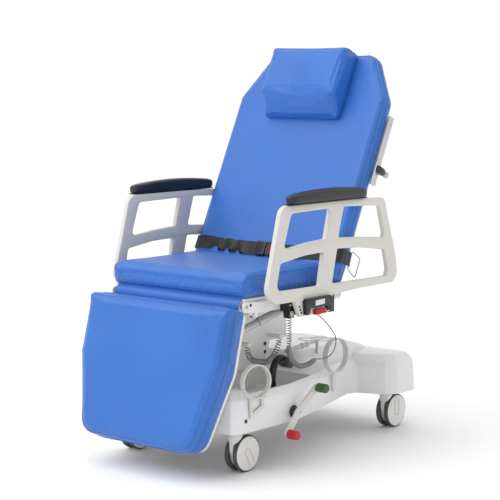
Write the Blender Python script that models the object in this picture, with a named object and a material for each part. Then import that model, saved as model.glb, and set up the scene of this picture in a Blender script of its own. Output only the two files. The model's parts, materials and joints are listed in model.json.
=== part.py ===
"""Patient recliner chair: a wheeled base, a lifting seat carriage, a reclining back and a raising leg rest.

Metres, +Z up, the floor at z = 0, the chair facing -Y, its own left side at +X. The origin is on the floor at the
middle of the chair's bounding box. The chair stands as stored: back upright, leg rest down, seat low.
"""

import math

import bmesh
import bpy
from mathutils import Matrix, Vector

GAP = 0.0003  # between pieces that touch

# Seat cushion and the frame below it
SEAT_TOP = 0.667
SEAT_BOTTOM = 0.589
SEAT_HALF = 0.305
SEAT_FRONT = -0.385
SEAT_REAR = 0.069  # at the top edge
DECK_THICK = 0.012
RAIL_TOP = SEAT_BOTTOM - DECK_THICK - 2 * GAP
RAIL_BOTTOM = 0.536
RAIL_X = (0.255, 0.295)
RAIL_Y = (-0.350, 0.150)
HINGE_PLATE_X = (0.2955, 0.3015)
HEAD_BOTTOM = 0.5155
LIFT_Y = -0.060
SIDE_PLATE_X = (0.1005, 0.1065)
CURL_X = 0.150
CORD_BRACKETS = (("rear", -0.015, 0.3993), ("front", -0.189, 0.3923))

# Backrest: t runs up the back from the pivot, depth runs rearward from the cushion's front face
BACK_TILT = math.radians(25.8)  # from vertical
BACK_PIVOT = (0.1256, 0.590)
BACK_PIVOT_DEPTH = 0.077
BACK_HALF = 0.3355
BACK_TOP_HALF = 0.234
BACK_LOW = -0.027
BACK_CHAMFER = 0.677
BACK_TOP = 0.855
BACK_THICK = 0.052
PANEL_THICK = 0.006

# Leg rest: u runs down the leg from the pivot, depth runs rearward from the cushion's front face
LEG_TILT = math.radians(15.0)
LEG_PIVOT = (-0.373, 0.564)
LEG_PIVOT_DEPTH = 0.103
LEG_HALF = 0.318
LEG_TOE_HALF = 0.249
LEG_TOP = 0.018
LEG_TAPER = 0.225
LEG_TOE = 0.500
LEG_THICK = 0.085

# Arms
ARM_X = (0.3385, 0.3585)
ARM_PIVOT = (0.318, 0.520)  # x and z of an axis along Y
ARM_BARREL_Y = (-0.115, 0.005)
ARM_PAD_X = (0.3375, 0.3805)

# Base
COVER_BOTTOM = 0.148
COVER_SHOULDER = 0.248
COVER_TOP = 0.270
TUB_FLOOR = 0.210
HUMP_TOP = 0.330
CASTER_X = 0.2445
CASTER_Y = (-0.362, 0.506)
CASTER_TRAIL = 0.034
WHEEL_R = 0.0625
WHEEL_OUT = 0.0275  # half the width over both wheels
WHEEL_IN = 0.0095
BEAM_Z = (0.1505, 0.1690)
PEDAL_AXIS = (-0.138, 0.180)
PEDAL_BAR_X = (0.335, 0.344)
SPRING_POST = (0.150, 0.205, 0.250)
SPRING_POST_R = 0.006
HOOP_R = (0.0575, 0.0635)
HOOP_WIDE = 0.0225
HOOP_THICK = 0.004

MATERIALS = {
    "blue_vinyl": ((0.05, 0.17, 0.60), 0.45, 0.0),
    "beige_plastic": ((0.66, 0.63, 0.57), 0.40, 0.0),
    "white_plastic": ((0.80, 0.80, 0.81), 0.35, 0.0),
    "white_paint": ((0.78, 0.77, 0.75), 0.35, 0.0),
    "black_foam": ((0.025, 0.025, 0.028), 0.55, 0.0),
    "black_plastic": ((0.02, 0.02, 0.022), 0.40, 0.0),
    "grey_rubber": ((0.10, 0.10, 0.11), 0.60, 0.0),
    "aluminium": ((0.72, 0.73, 0.75), 0.30, 1.0),
    "steel": ((0.55, 0.56, 0.58), 0.35, 1.0),
    "dark_steel": ((0.20, 0.20, 0.21), 0.45, 1.0),
    "red_rubber": ((0.60, 0.02, 0.03), 0.45, 0.0),
    "green_rubber": ((0.07, 0.22, 0.07), 0.50, 0.0),
    "black_webbing": ((0.02, 0.02, 0.02), 0.70, 0.0),
    "grey_sleeve": ((0.25, 0.25, 0.26), 0.50, 0.0),
}


# ---------------------------------------------------------------- helpers


def clear_scene():
    for thing in list(bpy.data.objects):
        bpy.data.objects.remove(thing)


def material(name):
    found = bpy.data.materials.get(name)
    if found:
        return found
    made = bpy.data.materials.new(name)
    made.use_nodes = True
    color, rough, metal = MATERIALS[name]
    shader = made.node_tree.nodes["Principled BSDF"]
    shader.inputs["Base Color"].default_value = (*color, 1)
    shader.inputs["Roughness"].default_value = rough
    shader.inputs["Metallic"].default_value = metal
    return made


def joint_empty(name, place):
    empty = bpy.data.objects.new(name, None)
    empty.location = place
    bpy.context.scene.collection.objects.link(empty)
    bpy.context.view_layer.update()
    return empty


def put_under(thing, empty):
    thing.parent = empty
    thing.matrix_parent_inverse = empty.matrix_world.inverted()


def solid(name, points, faces, look, smooth=False):
    """A closed mesh object from world points, its faces turned outwards."""
    mesh = bpy.data.meshes.new(name)
    mesh.from_pydata([tuple(p) for p in points], [], faces)
    shape = bmesh.new()
    shape.from_mesh(mesh)
    bmesh.ops.remove_doubles(shape, verts=shape.verts, dist=1e-6)
    bmesh.ops.recalc_face_normals(shape, faces=shape.faces)
    shape.to_mesh(mesh)
    shape.free()
    thing = bpy.data.objects.new(name, mesh)
    bpy.context.scene.collection.objects.link(thing)
    if look:
        mesh.materials.append(material(look))
    if smooth:
        mesh.shade_smooth()
        mesh.set_sharp_from_angle(angle=math.radians(35))
    return thing


def loft(name, rings, look, smooth=False):
    """A solid through loops of equally many points, with flat caps."""
    count = len(rings[0])
    points = [p for ring in rings for p in ring]
    faces = []
    for level in range(len(rings) - 1):
        for i in range(count):
            j = (i + 1) % count
            a, b = level * count, (level + 1) * count
            faces.append((a + i, a + j, b + j, b + i))
    faces.append(tuple(range(count)))
    last = (len(rings) - 1) * count
    faces.append(tuple(range(last, last + count)))
    return solid(name, points, faces, look, smooth)


def yz(y, z, x):
    return (x, y, z)


def xy(x, y, z):
    return (x, y, z)


def on_back(x, t, depth):
    """A world point from places on the tilted backrest."""
    out = BACK_PIVOT_DEPTH - depth
    y = BACK_PIVOT[0] + t * math.sin(BACK_TILT) - out * math.cos(BACK_TILT)
    z = BACK_PIVOT[1] + t * math.cos(BACK_TILT) + out * math.sin(BACK_TILT)
    return (x, y, z)


def on_leg(x, u, depth):
    """A world point from places on the tilted leg rest."""
    out = LEG_PIVOT_DEPTH - depth
    y = LEG_PIVOT[0] - u * math.sin(LEG_TILT) - out * math.cos(LEG_TILT)
    z = LEG_PIVOT[1] - u * math.cos(LEG_TILT) + out * math.sin(LEG_TILT)
    return (x, y, z)


def prism(name, outline, place, low, high, look, smooth=False):
    """An outline drawn in a plane and pulled from low to high across it. place turns (a, b, c) into a world point."""
    rings = [[place(a, b, c) for a, b in outline] for c in (low, high)]
    return loft(name, rings, look, smooth)


def block(name, low, high, look):
    outline = [(low[0], low[1]), (high[0], low[1]), (high[0], high[1]), (low[0], high[1])]
    return prism(name, outline, xy, low[2], high[2], look)


def rounded(corners, steps=3):
    """An outline whose corners are arcs. Each corner is (a, b, radius)."""
    made = []
    count = len(corners)
    for i, (a, b, radius) in enumerate(corners):
        here = Vector((a, b))
        if radius <= 0:
            made.append((a, b))
            continue
        before = (Vector(corners[i - 1][:2]) - here).normalized()
        after = (Vector(corners[(i + 1) % count][:2]) - here).normalized()
        half = before.angle(after) / 2
        centre = here + (before + after).normalized() * (radius / math.sin(half))
        start = here + before * (radius / math.tan(half)) - centre
        end = here + after * (radius / math.tan(half)) - centre
        turn = start.angle_signed(end)
        for step in range(steps + 1):
            spun = Matrix.Rotation(-turn * step / steps, 2) @ start
            made.append(tuple(centre + spun))
    return made


def padded_prism(name, outline, place, thick, edge, look):
    """A cushion whose outline shrinks over its rounded edges. outline(trim) gives the outline pulled in by trim."""
    steps = ((0.0, 1.0), (0.3, 0.3), (1.0, 0.0))
    levels = [(edge * down, edge * trim) for down, trim in steps]
    levels += [(thick - depth, trim) for depth, trim in reversed(levels)]
    rings = [[place(a, b, depth) for a, b in outline(trim)] for depth, trim in levels]
    return loft(name, rings, look, smooth=True)


def circle(a, b, radius, count=16, phase=0.0):
    return [
        (a + radius * math.cos(phase + 2 * math.pi * i / count), b + radius * math.sin(phase + 2 * math.pi * i / count))
        for i in range(count)
    ]


def rod(name, start, end, radius, look, sides=14):
    """A round bar between two points."""
    start, end = Vector(start), Vector(end)
    along = (end - start).normalized()
    side = along.cross(Vector((0, 0, 1)) if abs(along.z) < 0.9 else Vector((1, 0, 0))).normalized()
    other = along.cross(side)
    rings = []
    for centre in (start, end):
        turn = [2 * math.pi * (i + 0.5) / sides for i in range(sides)]
        rings.append([centre + (side * math.cos(w) + other * math.sin(w)) * radius for w in turn])
    return loft(name, rings, look, smooth=True)


def turned(name, profile, centre, look, sides):
    """A profile of (x, radius) pairs turned about an axis along X through centre. It starts and ends on the axis."""
    rings = []
    for x, radius in profile:
        turn = [2 * math.pi * i / sides - math.pi / 2 for i in range(sides)]
        rings.append(
            [(centre[0] + x, centre[1] + radius * math.cos(w), centre[2] + radius * math.sin(w)) for w in turn]
        )
    return loft(name, rings, look, smooth=True)


def combine(thing, other, operation):
    """Joins or cuts with another object, which is kept as a hidden guide."""
    other.hide_render = True
    other.display_type = "WIRE"
    step = thing.modifiers.new(operation.lower(), "BOOLEAN")
    step.operation = operation
    step.object = other
    return thing


def join(thing, *others):
    for other in others:
        combine(thing, other, "UNION")
    return thing


def cut(thing, *others):
    for other in others:
        combine(thing, other, "DIFFERENCE")
    return thing


def soften(thing, width, segments=2):
    """Rounded edges on a cushion or a grip."""
    step = thing.modifiers.new("round_edges", "BEVEL")
    step.width = width
    step.segments = segments
    step.limit_method = "ANGLE"
    step.angle_limit = math.radians(40)
    return thing


def smooth_route(stops, spacing):
    """Points along a smooth curve through the stops, about a spacing apart."""
    stops = [Vector(p) for p in stops]
    padded = [2 * stops[0] - stops[1], *stops, 2 * stops[-1] - stops[-2]]
    made = []
    for a, b, c, d in zip(padded, padded[1:], padded[2:], padded[3:]):
        count = max(1, round((c - b).length / spacing))
        for step in range(count):
            s = step / count
            made.append(
                0.5 * (2 * b + (c - a) * s + (2 * a - 5 * b + 4 * c - d) * s**2 + (3 * b - a - 3 * c + d) * s**3)
            )
    return [*made, stops[-1]]


def hose(name, stops, radius, look, spacing, sides_setting=2):
    """A cord or hose: a curve with a round bevel through a smooth route."""
    route = smooth_route(stops, spacing)
    data = bpy.data.curves.new(name, "CURVE")
    data.dimensions = "3D"
    data.bevel_depth = radius
    data.bevel_resolution = sides_setting
    data.use_fill_caps = True
    line = data.splines.new("POLY")
    line.points.add(len(route) - 1)
    for point, place in zip(line.points, route):
        point.co = (*place, 1)
    thing = bpy.data.objects.new(name, data)
    bpy.context.scene.collection.objects.link(thing)
    data.materials.append(material(look))
    return thing


# ---------------------------------------------------------------- base


def cover_outline(inset):
    """Half the base cover's plan, front to rear, pulled in by an inset, then mirrored."""
    half = [
        (0.296 - inset, -0.441 + inset),
        (0.314 - inset, -0.418 + inset * 0.4),
        (0.314 - inset, -0.130),
        (0.290 - inset, -0.015),
        (0.192 - inset, 0.330 + inset * 0.3),
        (0.205 - inset * 0.8, 0.372 + inset * 0.9),
        (0.306 - inset, 0.413 + inset),
        (0.334 - inset, 0.450 + inset * 0.6),
        (0.336 - inset, 0.560 - inset * 0.5),
        (0.312 - inset, 0.588 - inset),
    ]
    return half + [(-x, y) for x, y in reversed(half)]


def make_base_cover():
    rings = []
    for z, inset in ((COVER_BOTTOM, 0.0), (COVER_SHOULDER, 0.004), (COVER_TOP, 0.022)):
        rings.append([(x, y, z) for x, y in cover_outline(inset)])
    cover = loft("base_cover", rings, "white_plastic")

    def hump_ring(half, front, rear, z):
        corners = [(-half, front, 0.04), (half, front, 0.04), (half, rear, 0.04), (-half, rear, 0.04)]
        return [(x, y, z) for x, y in rounded(corners)]

    hump = loft(
        "hump_shape",
        [
            hump_ring(0.172, 0.070, 0.550, COVER_TOP - 0.012),
            hump_ring(0.160, 0.084, 0.500, 0.306),
            hump_ring(0.128, 0.104, 0.430, HUMP_TOP),
        ],
        None,
    )
    tub_outline = [(-0.262, -0.335), (0.262, -0.335), (0.280, -0.290), (0.280, -0.120), (0.250, 0.045)]
    tub_outline += [(-0.250, 0.045), (-0.280, -0.120), (-0.280, -0.290)]
    tub = prism("tub_shape", tub_outline, xy, TUB_FLOOR, COVER_TOP + 0.02, None)
    hollow = prism("cover_hollow", cover_outline(0.012), xy, COVER_BOTTOM - 0.02, TUB_FLOOR - 0.008, None)
    hump_hollow = block("hump_hollow", (-0.125, 0.115, 0.190), (0.125, 0.420, 0.296), None)
    foot_hollow = block("foot_hollow", (-0.300, 0.440, 0.190), (0.300, 0.565, 0.258), None)
    well = 0.0465
    shaft_well = block("column_well", (-well, LIFT_Y - well, 0.19), (well, LIFT_Y + well, 0.23), None)
    shaft_hole = rod(
        "pedal_shaft_hole", (-0.36, *PEDAL_AXIS), (0.36, *PEDAL_AXIS), 0.0125, None
    )
    post = SPRING_POST
    post_hole = rod("spring_post_hole", (*post[:2], post[2] - GAP), (*post[:2], 0.40), SPRING_POST_R + GAP, None)
    join(cover, hump)
    cut(cover, tub, hollow, hump_hollow, foot_hollow, shaft_well, shaft_hole, post_hole)
    return cover


def make_chassis():
    """A long flat beam joined to a cross arm at each end, with the caster sockets."""
    low, high = BEAM_Z
    frame = block("chassis_frame", (-0.040, CASTER_Y[0], low + 0.001), (0.040, CASTER_Y[1], high - 0.001), "dark_steel")
    for name, y in (("front_cross_arm", CASTER_Y[0]), ("rear_cross_arm", CASTER_Y[1])):
        wide = CASTER_X + 0.030
        join(frame, block(name, (-wide, y - 0.033, low), (wide, y + 0.033, high), None))
        for side in (1, -1):
            x = side * CASTER_X
            cut(frame, rod(f"{name}_socket_{side}", (x, y, 0.14), (x, y, 0.20), 0.0115, None))
    return frame


def make_column():
    """The fixed outer tube with the jack cylinder in it."""
    z0, z1 = BEAM_Z[1] + GAP, 0.465

    def square(half):
        return [(-half, LIFT_Y - half), (half, LIFT_Y - half), (half, LIFT_Y + half), (-half, LIFT_Y + half)]

    outer = prism("lift_column_outer", square(0.0460), xy, z0, z1, "white_paint")
    cut(outer, prism("outer_bore", square(0.0385), xy, z0 + 0.008, z1 + 0.02, None))
    inner = prism("lift_column_inner", square(0.0380), xy, 0.225, HEAD_BOTTOM - GAP, "steel")
    cut(inner, prism("inner_bore", square(0.0300), xy, 0.20, HEAD_BOTTOM - 0.012, None))
    floor = z0 + 0.008 + GAP
    cylinder = rod("lift_jack_cylinder", (0, LIFT_Y, floor), (0, LIFT_Y, 0.420), 0.018, "dark_steel")
    cut(cylinder, rod("jack_bore", (0, LIFT_Y, floor + 0.006), (0, LIFT_Y, 0.44), 0.0105, None))
    join(inner, rod("lift_jack_rod", (0, LIFT_Y, 0.226), (0, LIFT_Y, HEAD_BOTTOM - 0.006), 0.010, None))
    return outer, cylinder, inner


def make_caster(label, x, y):
    """A swivelling housing with its stem, and the two wheels on one axle."""
    axle_y = y + CASTER_TRAIL

    def web(v, z, c):
        return (x + c, y + v, z)

    neck_top = COVER_BOTTOM - 0.0012
    housing = prism(
        f"caster_housing_{label}", circle(x, y, 0.0240, 20), xy, 0.078, neck_top, "beige_plastic", smooth=True
    )
    outline = rounded(
        [
            (-0.0238, neck_top - 0.002, 0),
            (-0.0238, 0.070, 0.03),
            (0.010, 0.020, 0.02),
            (0.060, 0.018, 0.02),
            (0.082, 0.060, 0.03),
            (0.060, 0.118, 0.02),
            (0.0238, neck_top - 0.002, 0),
        ]
    )
    cheek = prism(f"cheek_{label}", outline, web, -0.0075, 0.0075, None)
    stem = rod(f"stem_{label}", (x, y, 0.14), (x, y, 0.1920), 0.0110, None)
    join(housing, cheek, stem)
    for side in (-1, 1):
        ends = sorted((side * (WHEEL_IN - 0.0012), side * 0.034))
        room = rod(
            f"wheel_room_{label}_{side}",
            (x + ends[0], axle_y, WHEEL_R),
            (x + ends[1], axle_y, WHEEL_R),
            WHEEL_R + 0.0018,
            None,
            sides=32,
        )
        cut(housing, room)
    cut(housing, rod(f"axle_hole_{label}", (x - 0.03, axle_y, WHEEL_R), (x + 0.03, axle_y, WHEEL_R), 0.0068, None))

    shoulder = WHEEL_R - 0.0065
    half = [(WHEEL_IN, 0.006), (WHEEL_IN, shoulder), (WHEEL_IN + 0.003, WHEEL_R)]
    half += [(WHEEL_OUT - 0.003, WHEEL_R), (WHEEL_OUT, shoulder)]
    profile = [(-a, b) for a, b in reversed(half)] + half
    wheels = turned(
        f"caster_wheels_{label}", profile, (x, axle_y, WHEEL_R), "beige_plastic", sides=28
    )
    return housing, wheels


def make_pedals():
    """One cross shaft with a bar at each end, and two rubber treads on each bar."""
    y, z = PEDAL_AXIS
    green, red = (-0.043, 0.252), (-0.202, 0.117)
    shaft = rod("brake_cross_shaft", (-PEDAL_BAR_X[0], y, z), (PEDAL_BAR_X[0], y, z), 0.009, "steel")
    treads = []
    along = (Vector(green) - Vector(red)).normalized()
    across = Vector((-along.y, along.x)) * 0.0115
    ends = [Vector(red), Vector(green)]
    for side, label in ((1, "left"), (-1, "right")):
        corners = [ends[0] - across, ends[0] + across, ends[1] + across, ends[1] - across]
        reach = [corners[0] - along * 0.012, corners[1] - along * 0.012, corners[2] + along * 0.012]
        reach.append(corners[3] + along * 0.012)
        outline = rounded([(p.x, p.y, 0.0105) for p in reach])
        low, high = sorted((side * PEDAL_BAR_X[0] - side * 0.004, side * PEDAL_BAR_X[1]))
        join(shaft, prism(f"pedal_bar_{label}", outline, yz, low, high, None))
        for color, place in (("green", green), ("red", red)):
            start = side * (PEDAL_BAR_X[1] + GAP)
            end = side * (PEDAL_BAR_X[1] + 0.041)
            tread = rod(f"{color}_tread_{label}", (start, *place), (end, *place), 0.016, f"{color}_rubber")
            treads.append(tread)
    return shaft, treads


def make_hoop(name, centre, turn, radius):
    """A flat band bent into a hoop whose axis is level, turned about Z from +X."""
    across = Vector((math.cos(turn), -math.sin(turn), 0))
    along = Vector((math.sin(turn), math.cos(turn), 0))
    up = Vector((0, 0, 1))

    def place(a, b, c):
        return Vector(centre) + along * a + up * b + across * c

    half = HOOP_WIDE / 2
    hoop = prism(name, circle(0, 0, radius, 32), place, -half, half, "beige_plastic", smooth=True)
    cut(hoop, prism(f"{name}_inside", circle(0, 0, radius - HOOP_THICK, 32), place, -0.02, 0.02, None))
    return hoop


def make_hoops():
    front_at = (0.3310, -0.360, 0.319)
    front = make_hoop("front_bottle_hoop", front_at, math.radians(13), HOOP_R[0])
    low = front_at[2] - HOOP_R[0]
    plate = block("front_hoop_plate", (0.3146, -0.372, 0.192), (0.3186, -0.300, 0.222), None)
    arm_a = block("front_hoop_arm_a", (0.3146, -0.374, 0.200), (0.3186, -0.362, low + 0.006), None)
    arm_b = block("front_hoop_arm_b", (0.3146, -0.318, 0.200), (0.3186, -0.306, low + 0.0115), None)
    shelf = block("front_hoop_shelf", (0.3146, -0.374, low - 0.001), (0.3400, -0.306, low + 0.004), None)
    join(front, plate, arm_a, arm_b, shelf)
    rear_at = (0.2480, 0.187, 0.320)
    rear = make_hoop("rear_bottle_hoop", rear_at, 0.0, HOOP_R[1])
    low = rear_at[2] - HOOP_R[1]
    post = block("rear_hoop_post", (0.2380, 0.179, 0.185), (0.2440, 0.195, low + 0.003), None)
    join(rear, post)
    return front, rear


def bent_bar(name, stops, x, radius, look, sides=12):
    """A round bar bent in a plane of constant x, through (y, z) stops."""
    rings = []
    for i, (y, z) in enumerate(stops):
        before, after = Vector(stops[max(i - 1, 0)]), Vector(stops[min(i + 1, len(stops) - 1)])
        along = (after - before).normalized()
        turn = [2 * math.pi * (k + 0.5) / sides for k in range(sides)]
        rings.append(
            [(x + radius * math.cos(w), y - along.y * radius * math.sin(w), z + along.x * radius * math.sin(w)) for w in turn]
        )
    return loft(name, rings, look, smooth=True)


def make_pump_lever():
    """A folded black lever with a round tread, hinged on a bracket in the tub."""
    x = 0.190
    bracket = block("pump_lever_bracket", (x - 0.020, -0.118, TUB_FLOOR + GAP), (x + 0.020, -0.078, 0.246), "black_plastic")
    slot = block("bracket_slot", (x - 0.0125, -0.13, TUB_FLOOR + 0.012), (x + 0.0125, -0.06, 0.26), None)
    cut(bracket, slot)
    stops = [(-0.099, 0.225), (-0.099, 0.245), (-0.102, 0.270), (-0.097, 0.300), (-0.082, 0.328), (-0.058, 0.341)]
    stops += [(-0.034, 0.335)]
    lever = bent_bar("pump_lever", stops, x, 0.0118, "black_plastic")
    join(lever, rod("pump_lever_tread", (x - 0.021, -0.026, 0.320), (x + 0.027, -0.026, 0.320), 0.019, None, 18))
    return bracket, lever


def make_gas_spring():
    """A gas spring lying over the hump between two posts."""
    x = SPRING_POST[0]
    start, end = Vector((x, 0.024, 0.3465)), Vector((x, 0.212, 0.359))
    middle = start.lerp(end, 0.62)
    spring = rod("base_gas_spring", start, middle, 0.0085, "aluminium")
    piston = rod("spring_piston", start.lerp(end, 0.5), end, 0.0045, None)
    collar = rod("spring_collar", start.lerp(end, 0.46), start.lerp(end, 0.52), 0.0105, None)
    rear_post = rod("spring_rear_post", SPRING_POST, (*SPRING_POST[:2], 0.364), SPRING_POST_R, None)
    join(spring, piston, collar, rear_post)
    return spring


# ---------------------------------------------------------------- seat carriage


def make_seat():
    slope = math.tan(BACK_TILT)
    rear_low = SEAT_REAR - (SEAT_TOP - SEAT_BOTTOM) * slope
    outline = [(SEAT_FRONT, SEAT_BOTTOM), (SEAT_FRONT, SEAT_TOP), (SEAT_REAR, SEAT_TOP), (rear_low, SEAT_BOTTOM)]
    cushion = prism("seat_cushion", outline, yz, -SEAT_HALF, SEAT_HALF, "blue_vinyl")
    soften(cushion, 0.014)
    deck_top = SEAT_BOTTOM - GAP
    deck = block("seat_deck", (-0.292, SEAT_FRONT + 0.012, deck_top - DECK_THICK), (0.292, 0.020, deck_top), "white_paint")
    frame = block("seat_frame", (-0.100, -0.200, HEAD_BOTTOM), (0.100, 0.081, RAIL_BOTTOM + 0.004), "white_paint")
    half = RAIL_X[0] + 0.002
    for label, y in (("front", -0.330), ("middle", -0.115), ("rear", 0.040)):
        low, high = (-half, y - 0.015, RAIL_BOTTOM + 0.001), (half, y + 0.015, RAIL_TOP - 0.001)
        join(frame, block(f"seat_cross_{label}", low, high, None))
    for side, label in ((1, "left"), (-1, "right")):
        x0, x1 = sorted((side * RAIL_X[0], side * RAIL_X[1]))
        join(frame, block(f"seat_rail_{label}", (x0, RAIL_Y[0], RAIL_BOTTOM), (x1, RAIL_Y[1], RAIL_TOP), None))
    x = LEG_ACTUATOR[0]
    cut(frame, block("leg_actuator_room", (x - 0.0185, -0.350, 0.50), (x + 0.0185, -0.090, 0.5585), None))
    pieces = [cushion, deck, frame]
    side_outline = [(-0.200, RAIL_BOTTOM - GAP), (0.081, RAIL_BOTTOM - GAP), (0.081, 0.387), (-0.010, 0.385)]
    side_outline += [(-0.050, 0.302), (-0.200, 0.302)]
    for side, label in ((1, "left"), (-1, "right")):
        x0, x1 = sorted((side * SIDE_PLATE_X[0], side * SIDE_PLATE_X[1]))
        plate = prism(f"lift_side_plate_{label}", side_outline, yz, x0, x1, "beige_plastic")
        if side > 0:
            for where, y, z0 in CORD_BRACKETS:
                low, high = (SIDE_PLATE_X[1] - 0.002, y - 0.011, z0), (CURL_X + 0.011, y + 0.011, z0 + 0.012)
                join(plate, block(f"cord_bracket_{where}", low, high, None))
        pieces.append(plate)
    return pieces


def make_hinge_shaft(name, pivot, radius, plate_outline):
    """A shaft along X with a plate at each end, bolted to the seat rails."""
    shaft = rod(name, (-0.299, *pivot), (0.299, *pivot), radius, "steel")
    for side in (1, -1):
        low, high = sorted((side * HINGE_PLATE_X[0], side * HINGE_PLATE_X[1]))
        join(shaft, prism(f"{name}_plate_{side}", plate_outline, yz, low, high, None))
    return shaft


def make_arm_clamps():
    """Two black blocks under each seat rail's side, with the arm's pivot shaft between them."""
    made = []
    for side, label in ((1, "left"), (-1, "right")):
        x0, x1 = sorted((side * 0.2955, side * 0.3340))
        a0, a1 = sorted((side * 0.3100, side * 0.3335))
        front = block(f"arm_clamp_{label}", (a0, -0.190, 0.508), (a1, -0.160, 0.564), "black_plastic")
        n0, n1 = sorted((side * 0.2955, side * 0.3120))
        neck = block(f"arm_clamp_neck_{label}", (n0, -0.190, 0.530), (n1, -0.160, 0.564), None)
        rear = block(f"arm_clamp_rear_{label}", (x0, 0.0285, 0.503), (x1, 0.062, 0.574), None)
        x = side * ARM_PIVOT[0]
        shaft = rod(f"arm_shaft_{label}", (x, -0.185, ARM_PIVOT[1]), (x, 0.045, ARM_PIVOT[1]), 0.0075, None)
        join(front, neck, rear, shaft)
        made.append(front)
    return made


LEG_ACTUATOR = (0.225, -0.047, 0.526)
LEG_ACTUATOR_EYE = (0.225, -0.395, 0.4510)


def make_leg_actuator():
    """The tube hangs from its rear pivot, and the rod slides out of it towards the leg panel."""
    start, end = Vector(LEG_ACTUATOR), Vector(LEG_ACTUATOR_EYE)
    along = (end - start).normalized()
    tube = rod("leg_actuator_tube", start, start + along * 0.180, 0.0145, "aluminium")
    cut(tube, rod("actuator_bore", start + along * 0.030, start + along * 0.20, 0.0084, None))
    piston = rod("leg_actuator_rod", start + along * 0.080, end - along * 0.016, 0.0080, "steel")
    return tube, piston


CORD_X = 0.2615


def make_cords():
    """The hanging cords under the seat, both ends of each on the seat carriage."""
    curl = hose(
        "hanging_curly_cord",
        [(CORD_X, -0.0986, RAIL_BOTTOM - GAP), (CORD_X, -0.0986, 0.470), (CORD_X, -0.0986, 0.3950)],
        0.0065,
        "grey_rubber",
        0.020,
    )
    sleeve_stops = [(-0.0986, 0.3946), (-0.0986, 0.3840), (-0.0950, 0.364), (-0.0766, 0.3384), (-0.0376, 0.3154), (0.0081, 0.3148)]
    sleeve_stops += [(0.0480, 0.3248)]
    sleeve = hose("grey_sleeve", [(CORD_X, *p) for p in sleeve_stops], 0.0085, "grey_sleeve", 0.018)
    cable_stops = [(0.0488, 0.3250), (0.0600, 0.3262), (0.090, 0.3222), (0.123, 0.3238), (0.158, 0.3434), (0.1697, 0.3800)]
    cable_stops += [(0.1517, 0.4120), (0.1047, 0.4550), (0.0560, 0.4900), (0.0460, 0.5200)]
    cable_stops.append((0.0460, RAIL_BOTTOM - GAP))
    cable = hose("thin_release_cable", [(CORD_X, *p) for p in cable_stops], 0.0020, "black_plastic", 0.018)
    loop_stops = [(-0.015, 0.3986), (-0.015, 0.3870), (-0.022, 0.368), (-0.043, 0.3415), (-0.076, 0.325), (-0.1095, 0.326)]
    loop_stops += [(-0.148, 0.335), (-0.178, 0.354), (-0.1890, 0.3800)]
    loop_stops.append((-0.1890, 0.3916))
    loop = hose("looped_curly_cord", [(CURL_X, *p) for p in loop_stops], 0.0075, "black_plastic", 0.020)
    return curl, sleeve, cable, loop


# ---------------------------------------------------------------- leg rest


def make_leg_rest():
    def outline(trim):
        side = [(LEG_HALF - trim, LEG_TOP + trim, 0.022 - trim), (LEG_HALF - trim, LEG_TAPER, 0)]
        side.append((LEG_TOE_HALF - trim, LEG_TOE - trim, 0.058 - trim))
        return rounded(side + [(-x, u, r) for x, u, r in reversed(side)], steps=5)

    cushion = padded_prism("leg_cushion", outline, on_leg, LEG_THICK, 0.014, "blue_vinyl")
    front = LEG_THICK + GAP
    panel = prism("leg_panel", outline(0.006), on_leg, front, front + 0.012, "white_paint")
    x0 = 0.240
    for side in (1, -1):
        low, high = sorted((side * x0, side * (x0 + 0.040)))
        knuckle = rod(f"leg_knuckle_{side}", (low, *LEG_PIVOT), (high, *LEG_PIVOT), 0.0125, None, 18)
        web_outline = [(0.000, front + 0.004), (0.060, front + 0.004), (0.060, front + 0.012), (0.0, front + 0.024)]

        def on_side(u, depth, x):
            return on_leg(x, u, depth)

        web = prism(f"leg_web_{side}", web_outline, on_side, low, high, None)
        join(panel, knuckle, web)
    eye_outline = [(0.098, front + 0.004), (0.126, front + 0.004), (0.118, front + 0.019), (0.106, front + 0.019)]
    x = LEG_ACTUATOR[0]
    join(panel, prism("leg_actuator_lug", eye_outline, lambda u, d, c: on_leg(c, u, d), x - 0.010, x + 0.010, None))
    cut(panel, rod("leg_shaft_hole", (-0.3, *LEG_PIVOT), (0.3, *LEG_PIVOT), 0.0070, None))
    return cushion, panel


# ---------------------------------------------------------------- backrest


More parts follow.
